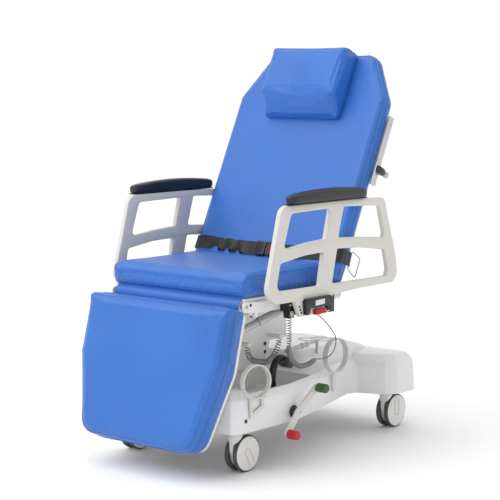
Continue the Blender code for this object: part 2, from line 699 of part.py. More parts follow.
def make_backrest():
    def outline(trim, low=BACK_LOW):
        side = [
            (BACK_HALF - trim, low + trim, 0.020 - trim),
            (BACK_HALF - trim, BACK_CHAMFER, 0.030),
            (BACK_TOP_HALF - trim, BACK_TOP - trim, 0.040 - trim),
        ]
        return rounded(side + [(-x, t, r) for x, t, r in reversed(side)], steps=4)

    cushion = padded_prism("back_cushion", outline, on_back, BACK_THICK, 0.012, "blue_vinyl")
    front = BACK_THICK + GAP
    panel = prism("back_panel", outline(0.005, BACK_LOW + 0.045), on_back, front, front + PANEL_THICK, "white_paint")
    pieces = [cushion, panel]
    bar_front = front + PANEL_THICK + GAP
    frame = None
    for side, label in ((1, "left"), (-1, "right")):
        low, high = sorted((side * 0.150, side * 0.175))

        def on_side(t, depth, x):
            return on_back(x, t, depth)

        bar_outline = [(0.0, bar_front), (0.620, bar_front), (0.620, bar_front + 0.025), (0.0, bar_front + 0.025)]
        bar = prism(f"back_bar_{label}" if frame else "back_frame", bar_outline, on_side, low, high, "white_paint")
        frame = join(frame, bar) if frame else bar
        join(frame, rod(f"back_lug_{label}", (low, *BACK_PIVOT), (high, *BACK_PIVOT), 0.0165, None, 20))
        hole = rod(f"back_bore_{label}", (low - 0.01, *BACK_PIVOT), (high + 0.01, *BACK_PIVOT), 0.0084, None, 20)
        cut(frame, hole)
    for label, t in (("lower", 0.300), ("upper", 0.560)):
        brace_front = bar_front + 0.022
        brace = [(-0.300, t), (0.300, t), (0.300, t + 0.030), (-0.300, t + 0.030)]
        join(frame, prism(f"back_brace_{label}", brace, on_back, brace_front, brace_front + 0.008, None))
    pieces.append(frame)
    return pieces


RAIL_T = (0.368, 0.630)
SIDE_RAIL_X = (0.3400, 0.3490)
SIDE_RAIL_DEPTH = (0.0440, 0.0690)
KNOB_T = 0.428


def make_side_rails():
    """Accessory rails beside the back cushion, on two short stand-offs each, and a knobbed clamp on the left one."""
    made = []
    for side, label in ((1, "left"), (-1, "right")):
        low, high = sorted((side * SIDE_RAIL_X[0], side * SIDE_RAIL_X[1]))
        outline = [(SIDE_RAIL_DEPTH[0], RAIL_T[0]), (SIDE_RAIL_DEPTH[1], RAIL_T[0])]
        outline += [(SIDE_RAIL_DEPTH[1], RAIL_T[1]), (SIDE_RAIL_DEPTH[0], RAIL_T[1])]
        rail = prism(f"side_rail_{label}", outline, lambda d, t, x: on_back(x, t, d), low, high, "aluminium")
        for t in (RAIL_T[0] + 0.030, RAIL_T[1] - 0.040):
            inner = 0.300
            x0, x1 = sorted((side * inner, side * (SIDE_RAIL_X[0] + 0.002)))
            strap = [(x0, t), (x1, t), (x1, t + 0.020), (x0, t + 0.020)]
            join(rail, prism(f"rail_strap_{label}_{t:.2f}", strap, on_back, 0.0592, 0.0640, None))
        made.append(rail)
    lo, hi = KNOB_T - 0.012, KNOB_T + 0.012
    clamp_outline = [(SIDE_RAIL_X[0] + 0.0004, lo), (0.3600, lo), (0.3600, hi), (SIDE_RAIL_X[0] + 0.0004, hi)]
    clamp = prism("rail_clamp", clamp_outline, on_back, SIDE_RAIL_DEPTH[1] + GAP, 0.086, "black_plastic")
    hook_outline = [(SIDE_RAIL_X[1] + GAP, lo), (0.3600, lo), (0.3600, hi), (SIDE_RAIL_X[1] + GAP, hi)]
    join(clamp, prism("clamp_hook", hook_outline, on_back, 0.046, 0.075, None))
    start, end = on_back(0.350, KNOB_T, 0.0863), on_back(0.350, KNOB_T, 0.118)
    knob = rod("rail_clamp_knob", start, end, 0.0120, "steel", 12)
    return made, clamp, knob


def make_belt():
    """The lap belt across the foot of the backrest, with its buckle and the buckle's button."""
    low, high = 0.050, 0.098
    face = -0.0040
    pieces = []
    for label, x0, x1 in (("right", -0.325, -0.027), ("left", 0.080, 0.325)):
        outline = [(x0, low), (x1, low), (x1, high), (x0, high)]
        pieces.append(prism(f"belt_strap_{label}", outline, on_back, face, -0.0012, "black_webbing"))
    tongue_outline = [(-0.0290, low + 0.002), (0.0215, low + 0.002), (0.0215, high - 0.002), (-0.0290, high - 0.002)]
    join(pieces[0], prism("belt_tongue", tongue_outline, on_back, -0.0035, -0.0016, None))
    buckle_outline = [(0.0220, low - 0.002), (0.0795, low - 0.002), (0.0795, high + 0.002), (0.0220, high + 0.002)]
    buckle = prism("belt_buckle", buckle_outline, on_back, -0.0200, -0.0012, "black_plastic")
    button_outline = [(0.0360, low + 0.006), (0.0540, low + 0.006), (0.0540, high - 0.006), (0.0360, high - 0.006)]
    pocket = [(a + (-GAP * 2 if a < 0.04 else GAP * 2), b + (-GAP * 2 if b < 0.07 else GAP * 2)) for a, b in button_outline]
    cut(buckle, prism("button_pocket", pocket, on_back, -0.03, -0.0090, None))
    button = prism("buckle_button", button_outline, on_back, -0.0212, -0.0130, "red_rubber")
    pieces.append(buckle)
    return pieces, button


def make_pillow():
    """A wedge-shaped head pillow on the back's upper end."""
    profile = [(0.588, -0.0012), (0.586, -0.026), (0.660, -0.094), (0.838, -0.088), (0.848, -0.060), (0.848, -0.0012)]
    pillow = prism("head_pillow", profile, lambda t, d, x: on_back(x, t, d), -0.168, 0.168, "blue_vinyl")
    soften(pillow, 0.010, 2)
    return pillow


# ---------------------------------------------------------------- arms


def arm_window(corners):
    return rounded([(y, z, 0.020) for y, z in corners], 3)


def make_arm(side, label):
    """A window-frame arm with its pad and latch box, hinged low down on an axis along Y."""
    low, high = sorted((side * ARM_X[0], side * ARM_X[1]))
    outline = rounded(
        [
            (-0.335, 0.611, 0.042),
            (-0.297, 0.567, 0.042),
            (-0.186, 0.566, 0.012),
            (-0.158, 0.511, 0.008),
            (0.008, 0.511, 0.006),
            (0.013, 0.566, 0.015),
            (0.180, 0.573, 0),
            (0.415, 0.573, 0.040),
            (0.400, 0.670, 0),
            (0.325, 0.884, 0.030),
            (0.150, 0.889, 0),
            (0.000, 0.8905, 0),
            (-0.258, 0.8905, 0.040),
        ],
        4,
    )
    panel = prism(f"arm_panel_{label}", outline, yz, low, high, "beige_plastic")
    windows = (
        [(-0.248, 0.744), (-0.120, 0.758), (-0.018, 0.763), (0.010, 0.866), (-0.206, 0.862)],
        [(0.051, 0.762), (0.180, 0.754), (0.331, 0.741), (0.294, 0.857), (0.084, 0.867)],
        [(-0.285, 0.609), (-0.052, 0.605), (-0.028, 0.719), (-0.140, 0.716), (-0.264, 0.700)],
        [(0.018, 0.605), (0.357, 0.601), (0.330, 0.696), (0.180, 0.716), (0.047, 0.724)],
    )
    for number, corners in enumerate(windows):
        cut(panel, prism(f"arm_window_{label}_{number}", arm_window(corners), yz, low - 0.01, high + 0.01, None))
    x, z = side * ARM_PIVOT[0], ARM_PIVOT[1]
    barrel = rod(f"arm_barrel_{label}", (x, ARM_BARREL_Y[0], z), (x, ARM_BARREL_Y[1], z), 0.0140, None, 18)
    x0, x1 = sorted((x, side * (ARM_X[0] + 0.004)))
    web = block(f"arm_web_{label}", (x0, ARM_BARREL_Y[0], z - 0.008), (x1, ARM_BARREL_Y[1], z + 0.010), None)
    join(panel, barrel, web)
    cut(panel, rod(f"arm_bore_{label}", (x, -0.13, z), (x, 0.03, z), 0.0080, None, 18))

    pad_x = sorted((side * ARM_PAD_X[0], side * ARM_PAD_X[1]))
    pad_outline = [(-0.226, 0.8915), (-0.226, 0.912), (-0.208, 0.925), (-0.100, 0.932), (0.050, 0.936)]
    pad_outline += [(0.150, 0.934), (0.190, 0.927), (0.200, 0.912), (0.200, 0.8915)]
    pad = prism(f"arm_pad_{label}", pad_outline, yz, *pad_x, "black_foam")
    soften(pad, 0.008, 2)

    outer = side * ARM_X[1]
    box_x = sorted((outer + side * GAP, outer + side * 0.0140))
    box_outline = [(-0.144, 0.517), (-0.124, 0.517), (-0.118, 0.537), (-0.028, 0.537), (-0.022, 0.519)]
    box_outline += [(0.000, 0.519), (0.003, 0.560), (-0.005, 0.571), (-0.140, 0.571), (-0.149, 0.562)]
    latch_box = prism(f"latch_box_{label}", box_outline, yz, *box_x, "black_plastic")
    tab_x = sorted((outer + side * 0.0010, outer + side * 0.0180))
    tab_outline = [(-0.092, 0.512), (-0.036, 0.512), (-0.036, 0.5300), (-0.092, 0.5300)]
    tab = prism(f"latch_tab_{label}", tab_outline, yz, *tab_x, "red_rubber")
    return [panel, pad, latch_box], tab


# ---------------------------------------------------------------- assembly


def main():
    clear_scene()
    base = joint_empty("base", (0, 0, 0))
    carriage = joint_empty("lift_axis", (0, LIFT_Y, 0))
    put_under(carriage, base)
    outer, cylinder, inner = make_column()
    bracket, lever = make_pump_lever()
    tube, piston = make_leg_actuator()

    fixed = [make_base_cover(), make_chassis(), outer, cylinder, *make_hoops(), bracket, make_gas_spring()]
    leg_plate = rounded([(-0.388, 0.547, 0.008), (-0.275, 0.540, 0.004), (-0.275, 0.574, 0.004), (-0.388, 0.580, 0.012)])
    back_plate = rounded([(0.104, 0.545, 0.004), (0.147, 0.545, 0.004), (0.147, 0.606, 0.012), (0.104, 0.606, 0.012)])
    leg_shaft = make_hinge_shaft("leg_hinge_shaft", LEG_PIVOT, 0.0065, leg_plate)
    back_shaft = make_hinge_shaft("back_hinge_shaft", BACK_PIVOT, 0.0080, back_plate)
    lifted = [*make_seat(), leg_shaft, back_shaft, *make_arm_clamps(), inner, *make_cords()]
    for thing in fixed:
        put_under(thing, base)
    for thing in lifted:
        put_under(thing, carriage)

    def moving(name, place, parent, things):
        empty = joint_empty(name, place)
        put_under(empty, parent)
        for thing in things:
            put_under(thing, empty)
        return empty

    belt, button = make_belt()
    side_rails, clamp, knob = make_side_rails()
    back_things = [*make_backrest(), *side_rails, clamp, *belt]
    back = moving("back_axis", (0, *BACK_PIVOT), carriage, back_things)
    moving("pillow_slide", on_back(0, 0.70, 0), back, [make_pillow()])
    moving("knob_axis", on_back(0.350, KNOB_T, 0.0863), back, [knob])
    moving("button_slide", on_back(0.045, 0.074, -0.0212), back, [button])
    moving("leg_axis", (0, *LEG_PIVOT), carriage, make_leg_rest())
    tilt = moving("leg_actuator_axis", LEG_ACTUATOR, carriage, [tube])
    moving("leg_actuator_slide", LEG_ACTUATOR_EYE, tilt, [piston])
    moving("pump_lever_axis", (0.190, -0.099, 0.234), base, [lever])
    shaft, treads = make_pedals()
    moving("brake_axis", (0, *PEDAL_AXIS), base, [shaft, *treads])
    for side, label in ((1, "left"), (-1, "right")):
        arm_things, tab = make_arm(side, label)
        arm = moving(f"arm_axis_{label}", (side * ARM_PIVOT[0], -0.05, ARM_PIVOT[1]), carriage, arm_things)
        moving(f"latch_slide_{label}", (side * ARM_X[1], -0.064, 0.521), arm, [tab])
    for end, y in zip(("front", "rear"), CASTER_Y):
        for side, label in ((1, "left"), (-1, "right")):
            name = f"{end}_{label}"
            housing, wheels = make_caster(name, side * CASTER_X, y)
            swivel = moving(f"swivel_{name}", (side * CASTER_X, y, 0.15), base, [housing])
            moving(f"axle_{name}", (side * CASTER_X, y + CASTER_TRAIL, WHEEL_R), swivel, [wheels])


main()
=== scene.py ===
"""Patient recliner chair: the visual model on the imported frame.

Metres, +Z up, the chair facing -Y, its own left side at +X. Places repeat part.py's named sizes.
"""

import json
import math
import random

import bmesh
import bpy
import numpy as np
from mathutils import Matrix, Vector
from mathutils.bvhtree import BVHTree


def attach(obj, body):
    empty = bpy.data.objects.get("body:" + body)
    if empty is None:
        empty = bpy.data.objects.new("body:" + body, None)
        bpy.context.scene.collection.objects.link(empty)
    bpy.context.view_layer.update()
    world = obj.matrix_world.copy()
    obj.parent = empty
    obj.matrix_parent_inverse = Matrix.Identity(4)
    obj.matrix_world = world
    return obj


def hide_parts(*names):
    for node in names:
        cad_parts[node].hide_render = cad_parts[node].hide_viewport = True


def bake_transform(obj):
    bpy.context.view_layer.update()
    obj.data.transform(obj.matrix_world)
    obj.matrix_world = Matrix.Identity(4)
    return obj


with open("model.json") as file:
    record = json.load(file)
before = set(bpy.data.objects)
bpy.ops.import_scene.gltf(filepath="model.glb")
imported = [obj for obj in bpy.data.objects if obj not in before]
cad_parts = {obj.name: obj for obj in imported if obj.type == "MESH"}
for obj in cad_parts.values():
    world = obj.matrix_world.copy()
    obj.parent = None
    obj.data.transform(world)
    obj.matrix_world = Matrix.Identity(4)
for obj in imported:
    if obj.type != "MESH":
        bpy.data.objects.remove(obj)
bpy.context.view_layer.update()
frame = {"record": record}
body_of_node = {n: b for b, nodes in frame["record"]["behaviour"]["bodies"].items() for n in nodes}
scene = bpy.context.scene

BACK_TILT = math.radians(25.8)
BACK_PIVOT = (0.1256, 0.59)
BACK_PIVOT_DEPTH = 0.077
BACK_HALF, BACK_TOP_HALF = 0.3355, 0.234
BACK_LOW, BACK_CHAMFER, BACK_TOP = -0.027, 0.677, 0.855
BACK_THICK = 0.052
LEG_TILT = math.radians(15.0)
LEG_PIVOT = (-0.373, 0.564)
LEG_PIVOT_DEPTH = 0.103
LEG_HALF, LEG_TOE_HALF = 0.318, 0.249
LEG_TOP, LEG_TAPER, LEG_TOE = 0.018, 0.225, 0.5
LEG_THICK = 0.085
SEAT_TOP, SEAT_BOTTOM, SEAT_HALF, SEAT_FRONT, SEAT_REAR = 0.667, 0.589, 0.305, -0.385, 0.069
CASTER_X, CASTER_Y, CASTER_TRAIL = 0.2445, (-0.362, 0.506), 0.034
WHEEL_R = 0.0625
PEDAL_AXIS = (-0.138, 0.18)
HANGING_COIL = (0.008, 0.0088)  # radius and pitch of the coil's centre line
LOOPED_COIL = (0.0092, 0.0094)
CURL_WIRE_R, LOOP_WIRE_R, SLEEVE_R, CABLE_R = 0.0014, 0.0015, 0.0082, 0.0018
BELT_WIDTH = 0.05


def on_back(x, t, depth):
    out = BACK_PIVOT_DEPTH - depth
    y = BACK_PIVOT[0] + t * math.sin(BACK_TILT) - out * math.cos(BACK_TILT)
    z = BACK_PIVOT[1] + t * math.cos(BACK_TILT) + out * math.sin(BACK_TILT)
    return Vector((x, y, z))


def on_leg(x, u, depth):
    out = LEG_PIVOT_DEPTH - depth
    y = LEG_PIVOT[0] - u * math.sin(LEG_TILT) - out * math.cos(LEG_TILT)
    z = LEG_PIVOT[1] - u * math.cos(LEG_TILT) + out * math.sin(LEG_TILT)
    return Vector((x, y, z))


# ---------------------------------------------------------------- camera, light, floor

camera = bpy.data.objects.new("camera", bpy.data.cameras.new("camera"))
scene.collection.objects.link(camera)
camera.location = (3.558, -4.235, 1.338)
camera.rotation_euler = (math.radians(83.39), 0, math.radians(40.0))
camera.data.sensor_width = 36
camera.data.lens = 112.56
scene.camera = camera
scene.view_settings.view_transform = "Standard"
scene.view_settings.look = "None"

world = bpy.data.worlds.new("studio")
scene.world = world
world.use_nodes = True
background = world.node_tree.nodes["Background"]
sky = world.node_tree.nodes.new("ShaderNodeTexCoord")
slope = world.node_tree.nodes.new("ShaderNodeVectorMath")
slope.operation = "DOT_PRODUCT"
slope.inputs[1].default_value = (-0.62, 0.74, -0.25)
world.node_tree.links.new(sky.outputs["Generated"], slope.inputs[0])
fade = world.node_tree.nodes.new("ShaderNodeMapRange")
fade.inputs["From Min"].default_value = -0.6
fade.inputs["From Max"].default_value = 0.7
fade.inputs["To Min"].default_value = 0.72
fade.inputs["To Max"].default_value = 1.04
world.node_tree.links.new(slope.outputs["Value"], fade.inputs["Value"])
world.node_tree.links.new(fade.outputs["Result"], background.inputs["Strength"])
background.inputs["Color"].default_value = (1.0, 1.0, 1.0, 1)


def area_light(name, place, aim, size, power, tint=(1, 1, 1)):
    light = bpy.data.lights.new(name, "AREA")
    light.shape = "DISK"
    light.size = size
    light.energy = power
    light.color = tint
    thing = bpy.data.objects.new(name, light)
    thing.location = place
    thing.rotation_euler = (Vector(aim) - Vector(place)).to_track_quat("-Z", "Y").to_euler()
    scene.collection.objects.link(thing)


def sun_light(name, direction, strength, angle):
    light = bpy.data.lights.new(name, "SUN")
    light.energy = strength
    light.angle = math.radians(angle)
    thing = bpy.data.objects.new(name, light)
    thing.rotation_euler = Vector(direction).to_track_quat("-Z", "Y").to_euler()
    scene.collection.objects.link(thing)


sun_light("sky_panel", (0.3, 0.42, -1.0), 1.15, 60)
area_light("key", (-0.9, -3.6, 3.0), (0, 0, 0.8), 1.8, 34)


# ---------------------------------------------------------------- materials


def new_material(name):
    made = bpy.data.materials.new(name)
    made.use_nodes = True
    tree = made.node_tree
    coords = tree.nodes.new("ShaderNodeTexCoord")
    return made, tree, tree.nodes["Principled BSDF"], coords.outputs["Object"]


def noise_node(tree, coords, scale, detail=3.0, stretch=None):
    if stretch:
        mapping = tree.nodes.new("ShaderNodeMapping")
        mapping.inputs["Scale"].default_value = stretch
        tree.links.new(coords, mapping.inputs["Vector"])
        coords = mapping.outputs["Vector"]
    node = tree.nodes.new("ShaderNodeTexNoise")
    node.inputs["Scale"].default_value = scale
    node.inputs["Detail"].default_value = detail
    tree.links.new(coords, node.inputs["Vector"])
    return node.outputs["Fac"]


def ramp(tree, value, low, high, start=0.3, end=0.7):
    node = tree.nodes.new("ShaderNodeValToRGB")
    node.color_ramp.elements[0].position = start
    node.color_ramp.elements[1].position = end
    node.color_ramp.elements[0].color = (*low, 1)
    node.color_ramp.elements[1].color = (*high, 1)
    tree.links.new(value, node.inputs["Fac"])
    return node.outputs["Color"]


def spread(tree, value, low, high):
    node = tree.nodes.new("ShaderNodeMapRange")
    node.inputs["From Min"].default_value = 0.3
    node.inputs["From Max"].default_value = 0.7
    node.inputs["To Min"].default_value = low
    node.inputs["To Max"].default_value = high
    tree.links.new(value, node.inputs["Value"])
    return node.outputs["Result"]


def bump_node(tree, height, strength, distance, under=None):
    node = tree.nodes.new("ShaderNodeBump")
    node.inputs["Strength"].default_value = strength
    node.inputs["Distance"].default_value = distance
    tree.links.new(height, node.inputs["Height"])
    if under:
        tree.links.new(under, node.inputs["Normal"])
    return node.outputs["Normal"]


def surface(name, color, rough, metal=0.0, mottle=0.05, patch=7.0, grain=700.0, bump=0.2, stretch=None,
    coat=0.0):
    """A moulded, painted or metal surface: slight colour and gloss variation and a fine grain."""
    made, tree, shader, coords = new_material(name)
    broad = noise_node(tree, coords, patch, 4)
    low = tuple(c * (1 - mottle) for c in color)
    high = tuple(min(1.0, c * (1 + mottle)) for c in color)
    tree.links.new(ramp(tree, broad, low, high), shader.inputs["Base Color"])
    fine = noise_node(tree, coords, grain, 2, stretch)
    tree.links.new(spread(tree, broad, rough - 0.04, rough + 0.05), shader.inputs["Roughness"])
    tree.links.new(bump_node(tree, fine, bump, 0.0003), shader.inputs["Normal"])
    shader.inputs["Metallic"].default_value = metal
    shader.inputs["Coat Weight"].default_value = coat
    shader.inputs["Coat Roughness"].default_value = 0.2
    return made


def vinyl(name, color):
    """Coated upholstery fabric: pebbled grain, faint crumple and slight shade differences."""
    made, tree, shader, coords = new_material(name)
    broad = noise_node(tree, coords, 3.5, 3)
    low = tuple(c * 0.92 for c in color)
    high = tuple(c * 1.08 for c in color)
    tree.links.new(ramp(tree, broad, low, high), shader.inputs["Base Color"])
    tree.links.new(spread(tree, broad, 0.38, 0.48), shader.inputs["Roughness"])
    shader.inputs["Specular IOR Level"].default_value = 0.62
    pebble = tree.nodes.new("ShaderNodeTexVoronoi")
    pebble.inputs["Scale"].default_value = 620
    tree.links.new(coords, pebble.inputs["Vector"])
    soft = noise_node(tree, coords, 26, 3)
    crumple = bump_node(tree, soft, 0.16, 0.004)
    tree.links.new(bump_node(tree, pebble.outputs["Distance"], 0.22, 0.0003, crumple),
        shader.inputs["Normal"])
    shader.inputs["Sheen Weight"].default_value = 0.12
    shader.inputs["Sheen Roughness"].default_value = 0.4
    return made


def webbing(name, color):
    """Woven strap: crossed ribs a millimetre apart."""
    made, tree, shader, coords = new_material(name)
    broad = noise_node(tree, coords, 40, 2)
    tree.links.new(ramp(tree, broad, color, tuple(c * 1.7 for c in color)), shader.inputs["Base Color"])
    shader.inputs["Roughness"].default_value = 0.42
    ribs = []
    for direction in ("X", "Z"):
        wave = tree.nodes.new("ShaderNodeTexWave")
        wave.bands_direction = direction
        wave.inputs["Scale"].default_value = 160
        tree.links.new(coords, wave.inputs["Vector"])
        ribs.append(wave.outputs["Fac"])
    both = tree.nodes.new("ShaderNodeMath")
    both.operation = "MULTIPLY"
    tree.links.new(ribs[0], both.inputs[0])
    tree.links.new(ribs[1], both.inputs[1])
    tree.links.new(bump_node(tree, both.outputs[0], 0.7, 0.0006), shader.inputs["Normal"])
    shader.inputs["Sheen Weight"].default_value = 0.05
    return made


LOOKS = {
    "blue_vinyl": vinyl("blue_vinyl_look", (0.018, 0.138, 0.515)),
    # a darker copy of the vinyl: painted shade along the sewn seams
    "seam_shade_blue": vinyl("blue_seam_look", (0.014, 0.115, 0.46)),
    "beige_plastic": surface("beige_plastic_look", (0.68, 0.657, 0.62), 0.42, mottle=0.02),
    "white_plastic": surface("white_plastic_look", (0.785, 0.785, 0.795), 0.32, mottle=0.015, bump=0.06,
    coat=0.2),
    "white_paint": surface("white_paint_look", (0.79, 0.785, 0.765), 0.38, mottle=0.02, bump=0.12),
    "black_foam": surface("black_foam_look", (0.014, 0.0145, 0.016), 0.36, mottle=0.2, grain=420, bump=0.8),
    "black_plastic": surface("black_plastic_look", (0.008, 0.008, 0.009), 0.34, mottle=0.15, grain=900),
    "grey_rubber": surface("grey_rubber_look", (0.075, 0.077, 0.082), 0.6, mottle=0.12),
    "aluminium": surface("aluminium_look", (0.56, 0.57, 0.59), 0.34, 0.7, grain=420, stretch=(1, 1, 0.05)),
    "silver_paint": surface("silver_paint_look", (0.52, 0.53, 0.55), 0.34, 0.25, grain=420),
    "steel": surface("steel_look", (0.52, 0.53, 0.55), 0.33, 0.95, grain=500, stretch=(0.06, 1, 1)),
    "dark_steel": surface("dark_steel_look", (0.05, 0.05, 0.054), 0.45, 0.3, mottle=0.15),
    "red_rubber": surface("red_rubber_look", (0.5, 0.01, 0.018), 0.4, mottle=0.08),
    "green_rubber": surface("green_rubber_look", (0.045, 0.105, 0.035), 0.48, mottle=0.1),
    "black_webbing": webbing("black_webbing_look", (0.006, 0.006, 0.007)),
    "grey_sleeve": surface("grey_sleeve_look", (0.26, 0.265, 0.275), 0.45, mottle=0.08),
    "grey_coil": surface("grey_coil_look", (0.115, 0.115, 0.118), 0.38, mottle=0.08),
    "clear_coil": surface("clear_coil_look", (0.22, 0.22, 0.225), 0.3, mottle=0.05),
    "caster_white": surface("caster_white_look", (0.8, 0.785, 0.755), 0.38, mottle=0.015),
    "label_white": surface("label_white_look", (0.72, 0.73, 0.75), 0.35, mottle=0.02),
    # painted shade: grey for the moulded loop groove on the wheel discs
    "groove_shade_grey": surface("groove_grey_look", (0.3, 0.29, 0.27), 0.5, mottle=0.05),
    "floor": surface("floor_look", (0.93, 0.93, 0.93), 0.85, mottle=0.004, patch=0.8, grain=60, bump=0.02),
}


# ---------------------------------------------------------------- making pieces


def finish(thing, look, body=None, smooth=40):
    """Gives a mesh object its look, its shading and its body."""
    thing.data.materials.clear()
    thing.data.materials.append(LOOKS[look])
    if smooth:
        thing.data.shade_smooth()
        if smooth < 180:
            thing.data.set_sharp_from_angle(angle=math.radians(smooth))
    if body:
        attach(thing, body)
    return thing


def made_of(name, points, faces, look, body, smooth=40):
    mesh = bpy.data.meshes.new(name)
    mesh.from_pydata([tuple(p) for p in points], [], faces)
    shape = bmesh.new()
    shape.from_mesh(mesh)
    bmesh.ops.remove_doubles(shape, verts=shape.verts, dist=1e-6)
    bmesh.ops.recalc_face_normals(shape, faces=shape.faces)
    shape.to_mesh(mesh)
    shape.free()
    thing = bpy.data.objects.new(name, mesh)
    scene.collection.objects.link(thing)
    return finish(thing, look, body, smooth) if look else thing


def loft(name, rings, look, body, smooth=40):
    count = len(rings[0])
    points = [p for ring in rings for p in ring]
    faces = []
    for level in range(len(rings) - 1):
        a, b = level * count, (level + 1) * count
        faces += [(a + i, a + (i + 1) % count, b + (i + 1) % count, b + i) for i in range(count)]
    last = (len(rings) - 1) * count
    faces += [tuple(range(count)), tuple(range(last, last + count))]
    return made_of(name, points, faces, look, body, smooth)


def applied(thing):
    """The same piece with its modifiers applied, as a plain mesh object of the same name."""
    bpy.context.view_layer.update()
    mesh = bpy.data.meshes.new_from_object(thing.evaluated_get(bpy.context.evaluated_depsgraph_get()))
    mesh.transform(thing.matrix_world)
    name = thing.name
    bpy.data.objects.remove(thing)
    plain = bpy.data.objects.new(name, mesh)
    plain.name = name
    scene.collection.objects.link(plain)
    return plain


def bevelled(thing, width, segments=2, angle=30):
    step = thing.modifiers.new("edges", "BEVEL")
    step.width = width
    step.segments = segments
    step.limit_method = "ANGLE"
    step.angle_limit = math.radians(angle)
    step.harden_normals = False
    return applied(thing)


def refined(node, look, width=0.0012, segments=2, angle=30):
    """A CAD solid with worn-round edges and a real finish."""
    source = bpy.data.objects[node]
    shape = bmesh.new()
    shape.from_mesh(source.data)
    bmesh.ops.remove_doubles(shape, verts=shape.verts, dist=1e-5)
    bmesh.ops.dissolve_limit(shape, angle_limit=math.radians(0.6), verts=shape.verts, edges=shape.edges)
    mesh = bpy.data.meshes.new(f"{node}_fine")
    shape.to_mesh(mesh)
    shape.free()
    thing = bpy.data.objects.new(f"{node}_fine", mesh)
    scene.collection.objects.link(thing)
    if width:
        thing = bevelled(thing, width, segments, angle)
    finish(thing, look, body_of_node[node])
    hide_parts(node)
    return thing


def stands_for(thing, *nodes):
    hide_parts(*nodes)
    return thing


def rounded(corners, steps=5):
    """An outline whose corners are arcs. Each corner is (a, b, radius)."""
    made = []
    count = len(corners)
    for i, (a, b, radius) in enumerate(corners):
        here = Vector((a, b))
        if radius <= 0:
            made.append((a, b))
            continue
        before = (Vector(corners[i - 1][:2]) - here).normalized()
        after = (Vector(corners[(i + 1) % count][:2]) - here).normalized()
        half = before.angle(after) / 2
        centre = here + (before + after).normalized() * (radius / math.sin(half))
        start = here + before * (radius / math.tan(half)) - centre
        end = here + after * (radius / math.tan(half)) - centre
        turn = start.angle_signed(end)
        for step in range(steps + 1):
            made.append(tuple(centre + Matrix.Rotation(-turn * step / steps, 2) @ start))
    return made


def rectangle(low, high, radius, *steps):
    """The outline of a rectangle with rounded corners, between two opposite corners."""
    (a, b), (c, d) = low, high
    return rounded([(a, b, radius), (c, b, radius), (c, d, radius), (a, d, radius)], *steps)


def placed(origin, a_axis, b_axis):
    """The matrix that puts (a, b, c) at origin + a * a_axis + b * b_axis + c * their cross product."""
    a, b = Vector(a_axis).normalized(), Vector(b_axis).normalized()
    c = a.cross(b)
    return Matrix(
        ((a.x, b.x, c.x, origin[0]), (a.y, b.y, c.y, origin[1]), (a.z, b.z, c.z, origin[2]), (0, 0, 0, 1)))


def side_plane(x):
    return placed((x, 0, 0), (0, 1, 0), (0, 0, 1))


def back_plane(depth):
    return placed(on_back(0, 0, depth), (1, 0, 0), (0, math.sin(BACK_TILT), math.cos(BACK_TILT)))


def plate(name, outlines, matrix, thick, edge, look, body, resolution=2):
    """A flat plate with rounded edges, its middle in the matrix's plane. The outlines after the first are holes."""
    data = bpy.data.curves.new(name, "CURVE")
    data.dimensions = "2D"
    data.fill_mode = "BOTH"
    data.extrude = thick / 2 - edge
    data.bevel_depth = edge
    data.bevel_resolution = resolution
    data.offset = -edge
    for outline in outlines:
        line = data.splines.new("POLY")
        line.points.add(len(outline) - 1)
        for point, (a, b) in zip(line.points, outline):
            point.co = (a, b, 0, 1)
        line.use_cyclic_u = True
    thing = bpy.data.objects.new(name, data)
    scene.collection.objects.link(thing)
    thing = applied(thing)
    thing.data.transform(matrix)
    shape = bmesh.new()
    shape.from_mesh(thing.data)
    bmesh.ops.remove_doubles(shape, verts=shape.verts, dist=2e-5)
    bmesh.ops.recalc_face_normals(shape, faces=shape.faces)
    shape.to_mesh(thing.data)
    shape.free()
    return finish(thing, look, body) if look else thing


def turned(name, profile, matrix, look, body, sides=48, smooth=40):
    """A profile of (along, radius) pairs turned about the matrix's third axis."""
    rings = []
    for along, radius in profile:
        turn = [2 * math.pi * i / sides for i in range(sides)]
        r = max(radius, 1e-5)
        rings.append([matrix @ Vector((r * math.cos(w), r * math.sin(w), along)) for w in turn])
    return loft(name, rings, look, body, smooth)


def along_axis(origin, direction):
    """A matrix whose third axis runs along a direction."""
    w = Vector(direction).normalized()
    a = w.cross(Vector((0, 0, 1)) if abs(w.z) < 0.9 else Vector((1, 0, 0))).normalized()
    return placed(origin, a, w.cross(a))


def smooth_route(stops, spacing):
    """Points along a smooth curve through the stops, about a spacing apart."""
    stops = [Vector(p) for p in stops]
    padded = [2 * stops[0] - stops[1], *stops, 2 * stops[-1] - stops[-2]]
    made = []
    for a, b, c, d in zip(padded, padded[1:], padded[2:], padded[3:]):
        count = max(1, round((c - b).length / spacing))
        for step in range(count):
            s = step / count
            made.append(
                0.5 * (2 * b + (c - a) * s + (2 * a - 5 * b + 4 * c - d) * s**2
                + (3 * b - a - 3 * c + d) * s**3)
            )
    return [*made, stops[-1]]


def frames_along(route):
    """A side and an up vector at each point, carried along without twist."""
    side, made = None, []
    for i, here in enumerate(route):
        along = (route[min(i + 1, len(route) - 1)] - route[max(i - 1, 0)]).normalized()
        if side is None:
            side = along.cross(Vector((0, 0, 1)) if abs(along.z) < 0.9 else Vector((1, 0, 0))).normalized()
        side = (side - along * side.dot(along)).normalized()
        made.append((here, side, along.cross(side)))
    return made


def tube(name, route, radius, look, body, sides=12, smooth=50):
    """A tube along a route. The radius is a number, or a function of how far along it is, from 0 to 1."""
    rings = []
    last = len(route) - 1
    for i, (here, side, up) in enumerate(frames_along(route)):
        r = radius(i / last) if callable(radius) else radius
        rings.append(
            [
                here + (side * math.cos(w) + up * math.sin(w)) * r
                for w in (2 * math.pi * k / sides for k in range(sides))
            ]
        )
    return loft(name, rings, look, body, smooth)


